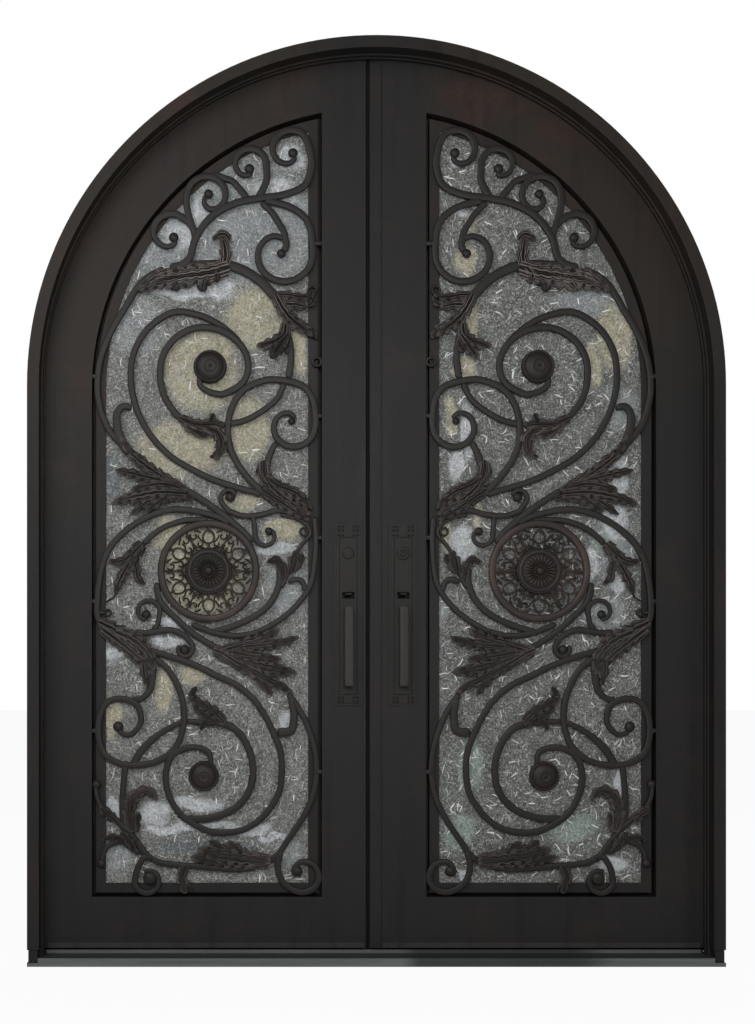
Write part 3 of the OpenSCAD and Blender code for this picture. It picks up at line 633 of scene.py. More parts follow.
# Grille bars and blades run through points (distance from the doorway's middle, height), the same on
# both leaves. A bar also has its width at the start and after the swell, and a blade its width. Left
# and right in the notes are those of the left leaf, seen from the front.
grille = {
    "depth": 11, "middle": 5, "stagger": 0.35, "step": 4.5, "sides": 14, "roundness": 0.45,
    "eyeDepth": 8, "eyeSectors": 24, "ringDepth": 6, "ringSectors": 28,
}
bars = [
    # volutes under the arch, and the long bar that carries them down to the upper leaf
    [volute([220, 2165], 18, 52, 235, 485) + [[176, 2182], [168, 2150], [167, 2118], [185, 2070],
        [240, 2045], [310, 2035], [375, 2020], [435, 1985], [475, 1930], [490, 1880], [515, 1858],
        [545, 1852]], 12, 19],
    [volute([330, 2125], 22, 43, 257, 530) + [[286, 2110], [286, 2085], [296, 2060],
        [310, 2036]], 12, 19],
    [[[449, 2043]] + volute([445, 2040], 16, 54, 300, 0) + [[500, 2020], [494, 1990], [484, 1960],
        [476, 1935]], 13, 18],
    [volute([540, 1945], 26, 49, 238, 480) + [[492, 1970], [480, 1948], [476, 1925]], 12, 19],
    [[[432, 2098], [416, 2096], [400, 2090], [378, 2082], [361, 2064], [346, 2046], [338, 2032]], 16, 18],
    # upper loop and the bar inside it
    [volute([240, 1890], 36, 77, 90, -180) + [[165, 1920], [170, 1955], [185, 1985], [210, 2005],
        [240, 2018], [290, 2030]], 14, 18],
    [[[300, 2025], [270, 1995], [254, 1970], [242, 1950], [235, 1925], [234, 1908], [241, 1893]], 16, 18],
    # from the upper leaf to both sides
    [[[545, 1852], [470, 1858], [395, 1857], [350, 1844], [306, 1817], [272, 1782], [256, 1764]], 16, 26],
    [[[560, 1848], [600, 1828], [630, 1800], [666, 1740], [704, 1674], [730, 1603], [738, 1528],
        [727, 1464], [703, 1412], [663, 1370], [608, 1335]], 15, 17],
    # long bar round the upper spiral
    [[[345, 1628], [362, 1655], [390, 1682], [425, 1706], [470, 1725], [525, 1733], [570, 1715],
        [612, 1677], [641, 1622], [649, 1555], [640, 1497], [620, 1443], [588, 1393], [542, 1347],
        [488, 1314], [433, 1287], [378, 1268], [300, 1246]], 15, 17],
    # upper spiral, from its boss out to the middle leaf
    [[[460, 1575], [465, 1540], [447, 1523], [424, 1515], [399, 1514], [354, 1540], [335, 1580],
        [346, 1630], [383, 1670], [435, 1690], [488, 1686], [535, 1657], [564, 1612], [570, 1558],
        [558, 1505], [531, 1463], [512, 1447]], 13, 18],
    # right loop, over and down to the right leaf
    [volute([215, 1430], 18, 58, 105, -175) + [[156, 1450], [164, 1500], [194, 1537], [264, 1552],
        [312, 1543], [352, 1520], [378, 1480], [389, 1430], [386, 1380], [369, 1336], [340, 1294],
        [307, 1260], [285, 1240], [262, 1222]], 12, 18],
    [[[238, 1543], [258, 1502], [298, 1468], [342, 1444], [386, 1433]], 15, 16],
    [[[428, 1432], [390, 1431]], 14, 14],
    [[[246, 1702], [226, 1660], [221, 1608], [228, 1555]], 16, 19],
    [[[260, 1386], [280, 1345], [289, 1298]], 16, 22],
    [[[646, 1473], [660, 1481], [676, 1476], [686, 1456], [684, 1420], [672, 1385], [650, 1352]], 16, 26],
    # bars over the rosette
    [[[500, 1257], [440, 1219], [388, 1180], [345, 1142], [328, 1115]], 18, 18],
    [[[385, 1168], [402, 1178], [425, 1188], [472, 1200], [525, 1206], [578, 1196], [622, 1176],
        [662, 1149], [696, 1115], [718, 1076], [731, 1028], [738, 970], [737, 918], [714, 876]], 15, 17],
    [[[442, 1176], [475, 1178], [512, 1175], [562, 1157], [600, 1129], [615, 1112]], 15, 15],
    [volute([385, 1235], 15, 24, 160, -60) + [[385, 1200], [345, 1188], [298, 1192], [255, 1203],
        [215, 1195]], 11, 15],
    [volute([290, 1136], 18, 27, 115, 350) + [[318, 1150], [320, 1170], [322, 1188]], 10, 14],
    [[[250, 1190], [220, 1186], [184, 1169], [170, 1141], [190, 1115], [210, 1086]], 10, 10],
    # bars beside and under the rosette
    [[[252, 1050], [252, 1010], [269, 967], [297, 935], [340, 909], [392, 889], [430, 879]], 19, 17],
    [[[218, 1064], [236, 1020], [248, 996]], 10, 15],
    [[[228, 1010], [212, 1019], [194, 1016], [186, 1001], [183, 985]], 14, 16],
    [[[159, 1185], [155, 1130], [158, 1070], [167, 1012], [191, 968], [224, 932], [264, 903], [312, 879],
        [365, 869], [420, 875], [465, 891], [487, 900]], 15, 15],
    [volute([505, 835], 14, 22, 30, -220) + [[505, 868], [530, 881], [552, 884], [600, 877],
        [640, 878]], 11, 16],
    [volute([602, 932], 20, 31, 280, 560) + [[577, 900], [590, 884]], 10, 13],
    [[[580, 1010], [574, 970], [556, 942], [499, 888], [450, 853], [405, 831], [380, 825]], 17, 17],
    # lower spiral: the long bar from its boss to the lower left leaf, and the turn inside it
    [[[435, 520], [440, 556], [470, 570], [508, 567], [541, 545], [555, 504], [552, 460], [534, 416],
        [503, 380], [445, 349], [395, 344], [347, 352], [307, 376], [277, 409], [254, 450], [246, 503],
        [249, 556], [266, 604], [289, 651], [320, 697], [366, 736], [418, 761], [472, 787], [526, 808],
        [604, 831]], 14, 17],
    [[[500, 641], [445, 636], [400, 632], [368, 617], [343, 585], [326, 539], [323, 493], [335, 450],
        [362, 415], [400, 393], [446, 381], [500, 380]], 13, 19],
    # lower left loop, with its inner bar and stem
    [[[682, 614], [655, 604], [630, 622], [621, 650], [634, 685], [670, 700], [708, 693], [731, 655],
        [735, 602], [722, 557], [687, 531], [643, 523], [596, 528], [553, 548], [524, 580], [509, 624],
        [507, 665], [512, 700], [526, 739], [553, 782], [592, 812]], 12, 17],
    [[[512, 640], [562, 613], [600, 584], [627, 552], [645, 520]], 13, 20],
    [[[663, 522], [668, 475], [671, 428], [668, 377], [649, 343], [626, 310], [604, 280],
        [585, 268]], 16, 17],
    # corner plant's two arms
    [[[742, 474], [740, 446], [730, 416], [716, 400], [698, 388], [678, 368], [654, 345],
        [632, 318]], 11, 15],
    [[[726, 262], [722, 285], [711, 304], [694, 315], [672, 318], [650, 306], [625, 287]], 12, 16],
    [[[222, 702], [214, 660], [217, 622], [230, 612], [258, 611]], 17, 25],
    [[[590, 790], [593, 756], [596, 730], [608, 711], [627, 699], [643, 704]], 26, 14],
    # bottom bar, up to the lower right leaf, and its two volutes
    [[[604, 280], [568, 263], [515, 256], [462, 252], [408, 247], [352, 246], [300, 257], [258, 283],
        [234, 317], [207, 356], [183, 396], [164, 440], [154, 490], [155, 545], [167, 598], [186, 648],
        [213, 693], [230, 713]], 16, 16],
    [volute([605, 215], 24, 33, 70, 380) + [[631, 248], [620, 268], [608, 284]], 12, 16],
    [[[205, 229], [215, 242], [196, 265], [160, 257], [147, 220], [166, 191], [200, 185], [234, 202],
        [252, 228], [256, 260], [248, 294]], 12, 17],
]
# Tabs to the opening's edge: its side, the bar's side, height and width
tabs = [(137, 168, 1915, 13), (137, 160, 1455, 13), (137, 160, 1130, 13), (137, 156, 505, 13),
        (754, 735, 1560, 13), (754, 735, 960, 13), (740, 718, 930, 9), (754, 733, 615, 13)]
# Balls at the volutes' ends and small rings, each with its place and radius
eyes = [
    [216, 2156, 13], [332, 2114, 13], [441, 2047, 12], [534, 1931, 13], [247, 1888, 12], [219, 1441, 10],
    [383, 1238, 13], [280, 1147, 11], [505, 831, 13], [607, 925, 12], [682, 626, 14], [598, 221, 18],
    [204, 240, 14], [740, 472, 12], [727, 261, 12]
]
rings = [[165, 1790, 14], [152, 1599, 15], [187, 1146, 13], [710, 930, 11]]


def eyeProfile(radius, middle, depth):
    # Flattened ball: radius times the cosine, depth times the sine
    a = np.radians(np.linspace(-90, 90, 13))
    return list(zip(radius * np.cos(a), middle + depth * np.sin(a)))


def grilleBars():
    # The bars lie at five slightly different depths, so that crossing ones don't share a face
    spec, middle = grille, grille["middle"]
    parts = []
    for i, (points, w0, w1) in enumerate(bars + [[[[a, z], [b, z]], w, w] for a, b, z, w in tabs]):
        parts.append(flatBar(points, w0, w1, spec["depth"], middle + spec["stagger"] * (i % 5 - 2),
                             spec["step"], spec["sides"], spec["roundness"]))
    for x, z, r in eyes:
        parts.append(turned((x, z), eyeProfile(r, middle - 1, spec["eyeDepth"]), spec["eyeSectors"]))
    for x, z, r in rings:
        outline = ringProfile(0.75 * r, r / 2, middle - spec["ringDepth"], middle + spec["ringDepth"])
        parts.append(turned((x, z), outline, spec["ringSectors"]))
    return joined(parts)


acanthus = {
    "rows": 34, "across": 19, "crown": 3.6, "fold": 3.4, "rib": 1.2, "curl": 4.5, "thick": 3.2,
    "lobePitch": 27, "lean": 0.8, "notch": 0.42, "sideShift": 0.12, "bladeShift": 0.37, "forward": 0.45,
    "back": 3.0, "stagger": 1.3, "lines": 1.9, "spread": 0.8,
}
blades = [
    # leaf under the arch
    [[[398, 1850], [396, 1880], [398, 1905], [405, 1926]], 36],
    [[[384, 1922], [393, 1934], [406, 1937], [420, 1931], [429, 1920]], 26],
    [[[385, 1850], [440, 1834], [510, 1824], [575, 1812], [630, 1788]], 62],
    [[[402, 1850], [420, 1830], [418, 1808]], 34],
    [[[430, 1842], [452, 1818], [458, 1784]], 46],
    [[[470, 1845], [510, 1818], [540, 1790]], 50],
    [[[535, 1836], [580, 1822], [612, 1796]], 40],
    # leaf at the right edge, over the upper spiral
    [[[262, 1775], [245, 1742], [222, 1712], [195, 1690], [162, 1668]], 42],
    [[[258, 1770], [232, 1752], [205, 1750], [178, 1742]], 34],
    [[[262, 1778], [230, 1776], [190, 1770], [158, 1778]], 26],
    [[[178, 1748], [165, 1755], [158, 1775]], 16],
    [[[205, 1700], [180, 1690], [152, 1660]], 28],
    [[[236, 1706], [240, 1672], [270, 1650], [314, 1640]], 36],
    [[[230, 1672], [248, 1646], [276, 1606]], 34],
    [[[225, 1655], [232, 1635], [244, 1626]], 22],
    # leaf under the upper spiral
    [[[520, 1450], [480, 1432], [440, 1430], [396, 1432]], 34],
    [[[440, 1428], [432, 1446], [428, 1462]], 24],
    [[[512, 1444], [480, 1416], [440, 1398]], 30],
    [[[450, 1425], [415, 1405], [408, 1370], [424, 1336]], 40],
    [[[408, 1380], [420, 1352], [438, 1344]], 20],
    # leaf at the right edge, over the rosette
    [[[294, 1335], [292, 1300], [270, 1262], [222, 1222], [168, 1190]], 46],
    [[[296, 1322], [306, 1312], [310, 1298]], 18],
    [[[290, 1290], [255, 1268], [205, 1246], [166, 1206]], 34],
    [[[300, 1258], [250, 1225], [205, 1195], [172, 1176]], 34],
    # left spray over the rosette
    [[[498, 1250], [560, 1288], [612, 1324], [650, 1358], [676, 1402]], 36],
    [[[545, 1278], [610, 1292], [650, 1302], [692, 1310]], 34],
    [[[515, 1260], [560, 1272], [600, 1268], [648, 1256]], 36],
    [[[500, 1246], [570, 1250], [640, 1238], [702, 1218]], 40],
    [[[505, 1248], [550, 1243], [600, 1226], [652, 1189]], 32],
    [[[510, 1244], [560, 1232], [609, 1197]], 30],
    [[[480, 1236], [530, 1238], [576, 1222]], 24],
    # bud at the left
    [[[618, 1112], [645, 1085], [675, 1066], [708, 1068]], 30],
    [[[616, 1115], [640, 1085], [656, 1045]], 42],
    [[[645, 1085], [634, 1050], [628, 1020], [608, 1006]], 28],
    [[[650, 1066], [668, 1034], [682, 1004], [689, 978]], 32],
    [[[686, 984], [696, 968], [718, 957]], 6],
    # leaf at the lower left
    [[[734, 906], [692, 886], [650, 868], [604, 858]], 42],
    [[[726, 888], [675, 850], [625, 808], [588, 764]], 42],
    [[[690, 880], [640, 856], [604, 820], [584, 774]], 46],
    [[[615, 800], [612, 765], [604, 736]], 26],
    # spray under the rosette
    [[[410, 826], [345, 846], [295, 862], [251, 889]], 36],
    [[[345, 842], [312, 862], [306, 886]], 18],
    [[[350, 838], [290, 845], [240, 852], [200, 866]], 32],
    [[[380, 825], [320, 814], [246, 805]], 34],
    [[[430, 832], [335, 796], [270, 780], [206, 771]], 46],
    [[[402, 819], [310, 766], [262, 742], [216, 716]], 38],
    [[[345, 792], [298, 745], [272, 708]], 30],
    # leaf over the lower spiral
    [[[396, 634], [430, 668], [468, 690], [494, 706]], 34],
    [[[470, 690], [486, 712], [472, 732]], 22],
    [[[400, 634], [440, 648], [484, 684]], 30],
    [[[430, 640], [452, 636], [462, 616]], 20],
    # leaf on the bottom bar
    [[[276, 268], [345, 275], [410, 284], [470, 302]], 52],
    [[[300, 262], [380, 266], [440, 272], [488, 280]], 44],
    [[[310, 270], [355, 290], [392, 320]], 40],
    [[[370, 285], [410, 302], [440, 324]], 34],
    [[[300, 262], [330, 275], [352, 302]], 28],
    [[[500, 258], [513, 230], [508, 205], [503, 180]], 32],
    [[[511, 228], [498, 204], [488, 186]], 16],
    # bud at the right edge
    [[[222, 1036], [213, 1065], [207, 1096]], 38],
    [[[214, 1045], [200, 1062], [189, 1086]], 24],
    [[[242, 1022], [245, 1050], [260, 1070], [287, 1064]], 28],
    # plant in the lower left corner
    [[[640, 345], [650, 382], [648, 420], [632, 446], [606, 456], [588, 446], [578, 428]], 40],
    [[[650, 372], [656, 405], [656, 438]], 26],
    [[[645, 420], [628, 448], [612, 466]], 26],
    [[[636, 345], [632, 370], [626, 398]], 24],
    [[[690, 378], [706, 392], [722, 404], [732, 412]], 32],
    [[[655, 312], [680, 328], [702, 332], [724, 322]], 24],
    [[[640, 302], [660, 330], [676, 346]], 26],
]


def acanthusBlade(points, width, order):
    # Leaf blade on a grid of s, from base to tip, and v, from edge to edge. Its half width is that of the
    # plain blade times a row of lobes that point forwards. It stands out by a crown 1 - v^2 and by folds
    # |sin|, which run along the blade beside the rib and bend out to the notches between the lobes; the
    # tip is smooth and curls forward. The back lies behind by a thickness that closes at the edges.
    # Each point also keeps its fold number, from which the finish paints shade into the grooves and a
    # highlight on the fold tops.
    spec = acanthus
    curve = curveThrough(points)
    length = measured(curve)[-1]
    s = np.linspace(0, 1, spec["rows"])
    v = np.linspace(-1, 1, spec["across"])[None, :]
    out = np.abs(v)
    centre = pointsAt(curve, s * length)
    tangent = np.gradient(centre, axis=0)
    tangent /= np.linalg.norm(tangent, axis=1)[:, None]
    across = np.stack([-tangent[:, 1], tangent[:, 0]], -1)
    s = s[:, None]
    plain = width / 2 * np.sqrt(np.clip(np.sin(np.pi * (0.15 + 0.85 * s)), 0.002, 1))
    lobes = max(round(length / spec["lobePitch"]), 2)
    phase = lobes * s - spec["lean"] + np.sign(v) * spec["sideShift"] + order * spec["bladeShift"]
    lobe = np.sin(np.pi * (phase % 1) ** 1.6) ** 0.8
    reach = 1 - spec["notch"] * (1 - lobe) * np.clip(3 * s, 0, 1) * np.clip(2.2 - 1.6 * s, 0, 1)
    forward = spec["forward"] * lobe * out ** 2 * width / 2 * (1 - s)
    side = plain * reach * v * 1.06
    x, z = (centre[:, i:i + 1] + across[:, i:i + 1] * side + tangent[:, i:i + 1] * forward for i in (0, 1))
    swollen = np.sqrt(np.clip(plain / (width / 2), 0, 1)) * np.clip(width / 34, 0.6, 1.2)
    vein = spec["lines"] * out + spec["spread"] * (phase + spec["lean"]) * out ** 2.2 - 0.2
    fold = np.abs(np.sin(np.pi * vein))
    height = spec["crown"] * (1 - v ** 2) ** 0.7 * swollen
    height = height + spec["fold"] * fold ** 0.7 * (1 - out ** 8) * swollen * np.clip(3.2 * (1 - s), 0.15, 1)
    height = height + spec["rib"] * np.exp(-(v / 0.1) ** 2) * (1 - 0.5 * s)
    height = height + spec["curl"] * s ** 4 * swollen
    closing = np.sqrt(np.clip(1 - v ** 4, 0, 1)) * np.sqrt(np.clip(1 - (2 * s - 1) ** 12, 0, 1))
    front = spec["back"] - spec["thick"] - spec["stagger"] * (order % 4) - height
    quads = gridQuads(spec["rows"], spec["across"])
    blade = joined([(gridPoints(x, front, z), quads),
                    (gridPoints(x, front + spec["thick"] * closing, z), quads[:, ::-1])])
    return blade, np.tile(vein.ravel(), 2)


def acanthusLeaves():
    made = [acanthusBlade(points, width, i) for i, (points, width) in enumerate(blades)]
    return joined([surface for surface, veins in made]), np.concatenate([veins for surface, veins in made])


rosette = {
    "at": (441, 1041), "ring": 136, "ringWidth": 19, "ringDepths": (-5, 9), "ringSectors": 120,
    "hubSectors": 144, "flutes": 24, "flute": 1.5, "fluteFrom": 14, "fluteTo": 43, "eyeAt": 89, "eye": 15,
    "wire": 5.4, "wireDepth": 8, "wireMiddle": 2, "wireStep": 2.2, "wireSides": 8, "wireRoundness": 0.9,
    "wireSwell": 20,
}
# Profiles of turned castings: (radius, depth), from the middle of the front round to that of the back
hubProfile = [(0, -17), (5, -16.6), (9, -14.6), (11.5, -11), (12.5, -7.5), (14.5, -6.6), (20, -8.2),
              (27, -9.6), (34, -9.8), (40, -8.6), (43.5, -6.4), (45.5, -6.2), (47, -8.2), (50, -9),
              (55, -8.4), (57.5, -6), (58.5, -5.4), (60, -5.6), (61, -4), (61, 5), (58, 6.5), (0, 6.5)]
bossProfile = [(0, -13.6), (2.5, -13.2), (4, -12), (5, -11.4), (12, -11.4), (15, -12.2), (18, -11.2),
               (24, -10.4), (31, -8), (34.5, -5.8), (36, -5.4), (37, -7.4), (39.5, -8.6), (42, -7.4),
               (43, -5), (43, 4), (41, 6), (0, 6)]
bossRadius = 43
bosses = [(437, 1586, 43), (454, 494, 39)]


def around(points, degrees):
    # Points given as (outwards, sideways) from the rosette's middle, turned by an angle
    a = math.radians(degrees)
    x, z = rosette["at"]
    return [(x + p * math.cos(a) - q * math.sin(a), z + p * math.sin(a) + q * math.cos(a)) for p, q in points]


def onion(radius, at):
    # Round eye with a point outwards: radius r(1 + 0.35 cos^16 of the half angle)
    a = np.linspace(0, 2 * np.pi, 19)
    r = radius * (1 + 0.35 * np.cos(a / 2) ** 16)
    return list(zip(at + r * np.cos(a), r * np.sin(a)))


def rosetteCasting():
    # Fluted hub and plain ring, with a lace of wires between them that repeats six times
    spec = rosette
    wire = spec["wire"]

    def flutes(radius, angle):
        rise, fall = (radius - spec["fluteFrom"]) / 4, (spec["fluteTo"] - radius) / 5
        return spec["flute"] * np.clip(rise, 0, 1) * np.clip(fall, 0, 1) * np.cos(spec["flutes"] * angle)

    hub = curveThrough(hubProfile, 3)
    ring = ringProfile(spec["ring"] - spec["ringWidth"] / 2, spec["ringWidth"], *spec["ringDepths"], 0.6)
    parts = [turned(spec["at"], hub.tolist(), spec["hubSectors"], flutes),
             turned(spec["at"], ring, spec["ringSectors"])]

    def wireBar(points, w0, w1, turn, lift=0):
        parts.append(flatBar(around(points, turn), w0, w1, spec["wireDepth"], spec["wireMiddle"] - lift,
                             spec["wireStep"], spec["wireSides"], spec["wireRoundness"], spec["wireSwell"]))

    for a in range(0, 360, 60):
        wireBar([(58, 0), (80, 0), (100, 0), (122, 0)], wire, wire, a)
        wireBar(onion(spec["eye"], spec["eyeAt"]), wire, wire, a + 30, 0.5)
        wireBar([(104, 0), (112, 0), (121, 0)], wire + 2, wire, a + 30, 0.3)
        wireBar([(58, 0), (66, 0), (75, 0)], wire + 2, wire + 1, a + 30, 0.3)
        for s in (-1, 1):
            outer = [(p, s * q) for p, q in volute((101, 13), 2.5, 9.5, 60, 330, 8)]
            wireBar(outer + [(104, s * 2), (97, s * 1)], wire, wire - 1, a, 0.8)
            inner = [(p, s * q) for p, q in volute((76, 17), 2.5, 8.5, -40, -300, 8)]
            wireBar(inner + [(90, s * 22), (97, s * 25)], wire, wire - 1, a, 0.2)
            wireBar([(60, s * 22), (70, s * 5), (84, s * 2)], wire, wire - 1, a, 0.6)
            wireBar([(112, s * 20), (108, s * 27), (98, s * 33)], wire - 1, wire - 1, a, 0.4)
    return joined(parts)


def bossDiscs():
    parts = []
    for x, z, r in bosses:
        profile = curveThrough([(p * r / bossRadius, y) for p, y in bossProfile], 4)
        parts.append(turned((x, z), profile.tolist(), 72))
    return joined(parts)


# Plates of the pulls: the steps are (half width, height), the field, squares and marks are placed from
# the plate's ends, and the slot is (width, height)
pull = {
    "border": (31.5, 3), "band": 5.5, "field": (22, 6), "groove": (3, 2.5), "fieldTop": 38, "fieldFoot": 31,
    "square": 3.5, "squareAt": 20, "squareGap": 5, "topSquares": 14, "footSquares": 15,
    "mark": 31, "markHalf": 2, "slot": (32, 17), "slotDrop": 10,
}
grip = {
    "wide": 24, "thick": 10, "leg": 16, "ends": 3.5, "step": 8, "roundness": 0.42, "root": 1,
    "legWide": 0.92, "legDeep": 0.9, "legFlare": (1.12, 1.0, 0.96, 0.94, 0.93, 0.0), "legRoundness": 0.5,
}
thumb = {"wide": 20, "thick": 4.6, "rise": 5, "drop": 0.25, "rows": 26, "tipFrom": 0.72, "rootTo": 0.04}
keyRose = {"radius": 17, "plug": 8.6, "slotHigh": 4.2, "slotWide": 0.9, "sectors": 64, "proud": 5}
blankProfile = [(0, -9.4), (8, -9.2), (13, -8.6), (15.4, -7.6), (16, -5.8), (16, -3), (0, -3)]
leafBack = boxOf("right_lock_stile")[1][1]
plateThick = -boxOf("right_pull_plates")[0][1]
keyHeight = (boxOf("key_cylinder")[0][2] + boxOf("key_cylinder")[1][2]) / 2


def pullPlate(low, high, slotAt=None):
    # Stepped plate with its middle at X 0 and its back at Y 0, and a slot where the thumb piece is
    half, foot, top = (high[0] - low[0]) / 2, low[2], high[2]
    borderX, borderH = pull["border"]
    bandH = pull["band"]
    margin = half - borderX
    fieldX, fieldH = pull["field"]
    fieldFoot, fieldTop = foot + pull["fieldFoot"], top - pull["fieldTop"]
    groove, grooveH = pull["groove"]
    patches = [(-half, half, foot, top, borderH), (-borderX, borderX, foot + margin, top - margin, bandH),
               (-fieldX - groove, fieldX + groove, fieldFoot - groove, fieldTop + groove, grooveH),
               (-fieldX, fieldX, fieldFoot, fieldTop, fieldH)]
    half, gap = pull["square"], pull["squareGap"]
    squares = [z + dz for z in (top - pull["topSquares"], foot + pull["footSquares"]) for dz in (-gap, gap)]
    openings = [(z, half) for z in squares] + [(top - pull["mark"], pull["markHalf"])]
    for middle in (-pull["squareAt"], pull["squareAt"]):
        for x in (middle - gap, middle + gap):
            patches += [(x - half, x + half, z - high, z + high, 0) for z, high in openings]
    if slotAt is not None:
        wide, high = pull["slot"]
        slotFoot = slotAt - pull["slotDrop"]
        patches.append((-wide / 2, wide / 2, slotFoot, slotFoot + high, 0))
    return relief(patches)


def pullGrip(low, high):
    # Upright bar with rounded ends on two legs, which widen towards the plate and reach into it
    root, middle = grip["root"] - plateThick, low[1] + grip["thick"] / 2
    wide, thick, leg = grip["wide"] / 2, grip["thick"] / 2, grip["leg"] / 2
    stations, share = roundedStations(high[2] - low[2], grip["ends"], grip["step"])
    path = np.stack([0 * stations, np.full(len(stations), middle), low[2] + stations], -1)
    parts = [sweep(path, (1, 0, 0), wide * share ** 0.35, thick * share ** 0.5, 32, grip["roundness"])]
    flare = np.array(grip["legFlare"])
    for z in (low[2] + leg, high[2] - leg):
        path = np.stack([0 * flare, np.linspace(root, middle, len(flare)), 0 * flare + z], -1)
        parts.append(sweep(path, (1, 0, 0), wide * grip["legWide"] * flare, leg * grip["legDeep"] * flare,
                           24, grip["legRoundness"]))
    return joined(parts)


def keyFace(centre, front):
    # Turned rose whose innermost rings are a slot: its outline blends from the slot's to a circle. Its
    # rings are (outline, depth).
    n = keyRose["sectors"]
    a = np.linspace(0, 2 * np.pi, n, endpoint=False)
    slot = np.stack([keyRose["slotWide"] * rounded(np.cos(a), 0.4),
                     keyRose["slotHigh"] * rounded(np.sin(a), 0.8)], -1)
    circle = np.stack([np.cos(a), np.sin(a)], -1)
    plug, rose = keyRose["plug"], keyRose["radius"]
    rings = [(0 * slot, 4), (slot, 4), (slot, -1.8), (slot * 1.1 + circle * 1.5, -2)]
    rings += [(circle * radius, depth) for radius, depth in (
        (plug - 1, -2.2), (plug, -1.6), (plug + 0.5, 0.6), (plug + 1.2, -0.6), (rose - 2.5, -1.2),
        (rose - 0.8, -0.6), (rose, 0.8), (rose, 6.5), (0, 6.5))]
    points = np.stack([np.insert(outline + centre, 1, front + depth, axis=1) for outline, depth in rings])
    return points.reshape(-1, 3), gridQuads(len(rings), n, True)


def thumbPress(low, high):
    # Curved tongue from the slot forwards: its height rises as sin over its length, and its root and
    # tip are rounded
    t = np.linspace(0, 1, thumb["rows"])
    middle = (low + high) / 2
    y = high[1] - t * (high[1] - low[1])
    z = middle[2] + thumb["rise"] * (np.sin(np.pi * t * 0.9) - thumb["drop"]) * t
    tip = np.sqrt(1 - np.clip((t - thumb["tipFrom"]) / (1 - thumb["tipFrom"]), 0, 1) ** 2)
    root = np.sqrt(1 - (1 - np.clip(t / thumb["rootTo"], 0, 1)) ** 2)
    path = np.stack([0 * t + middle[0], y, z], -1)
    dish = thumb["thick"] / 2 * root * tip ** 0.5
    return sweep(path, (1, 0, 0), thumb["wide"] / 2 * root * tip, dish, 20, 0.6)


strokes = {
    "front": 1080, "back": 350, "bright": 480, "length": (16, 30), "wide": (2.3, 3.8), "high": 1.1,
    "bend": 0.16, "margin": 8, "brightShades": (0.55, 1), "dullShades": (0.1, 0.4), "stations": 7,
}
# A ridge's section: (angle, height as a share of the ridge's), once round and slightly into the glass
ridgeSection = [(0, 0), (45, 0.75), (90, 1), (135, 0.75), (180, 0), (270, -0.3)]


def glassStrokes(side, seed):
    # Short curved ridges on both faces of a pane: each is a half-ellipse section along an arc, tapered
    # to both ends, at a place, heading, length and bend drawn for it
    low, high = boxOf(side + "_glass")
    near, far = sorted(abs(v) for v in (low[0], high[0]))
    draws = np.random.default_rng(seed)
    count = (strokes["front"] + strokes["back"]) * 2
    x = draws.uniform(near + strokes["margin"], far - strokes["margin"], count)
    z = draws.uniform(low[2] + strokes["margin"], high[2] - strokes["margin"], count)
    inside = np.hypot(x, np.clip(z - springHeight, 0, None)) < far - strokes["margin"] * 1.6
    x, z = x[inside], z[inside]
    count = min(len(x), strokes["front"] + strokes["back"])
    x, z = x[:count, None], z[:count, None]
    heading = draws.uniform(0, np.pi, (count, 1))
    length = draws.uniform(*strokes["length"], (count, 1))
    wide = draws.uniform(*strokes["wide"], (count, 1))
    bend = draws.normal(0, strokes["bend"], (count, 1))
    number = np.arange(count)[:, None]
    shades = [draws.uniform(*strokes[kind], (count, 1)) for kind in ("brightShades", "dullShades")]
    bright = np.where(number < strokes["bright"], *shades)
    t = np.linspace(-1, 1, strokes["stations"])[None, :]
    dome = np.sqrt(1 - t ** 2)
    along, off = t * length / 2, bend * length / 2 * (1 - t ** 2)
    cx = (x + along * np.cos(heading) - off * np.sin(heading)) * np.sign(low[0])
    cz = z + along * np.sin(heading) + off * np.cos(heading)
    angle, share = np.array(ridgeSection).T
    across = (wide / 2 * dome)[..., None] * np.cos(np.radians(angle))
    px = cx[..., None] - np.sin(heading)[..., None] * across
    pz = cz[..., None] + np.cos(heading)[..., None] * across
    lift = strokes["high"] * dome[..., None] * share + 0 * px
    py = np.where((number >= strokes["front"])[..., None], high[1] + lift, low[1] - lift)
    size = strokes["stations"] * len(ridgeSection)
    quads = gridQuads(strokes["stations"], len(ridgeSection), True) + (np.arange(count) * size)[:, None, None]
    return (gridPoints(px, py, pz), quads.reshape(-1, 4)), np.repeat(bright.ravel(), size)


grilleSurface = grilleBars()
acanthusSurface, acanthusVeins = acanthusLeaves()
rosetteSurface, bossSurface = rosetteCasting(), bossDiscs()
grillePieces = [
    ("ScrollBars", "_scrollwork", grilleSurface, barIron, {"proud": 3}),
    ("AcanthusLeaves", "_acanthus", acanthusSurface, veinedIron,
     {"marks": acanthusVeins, "sharp": 70, "proud": 6}),
    ("RosetteCasting", "_rosette", rosetteSurface, castIron, {"sharp": 60, "proud": 4}),
    ("BossDiscs", "_bosses", bossSurface, castIron, {"sharp": 60, "proud": 4}),
]


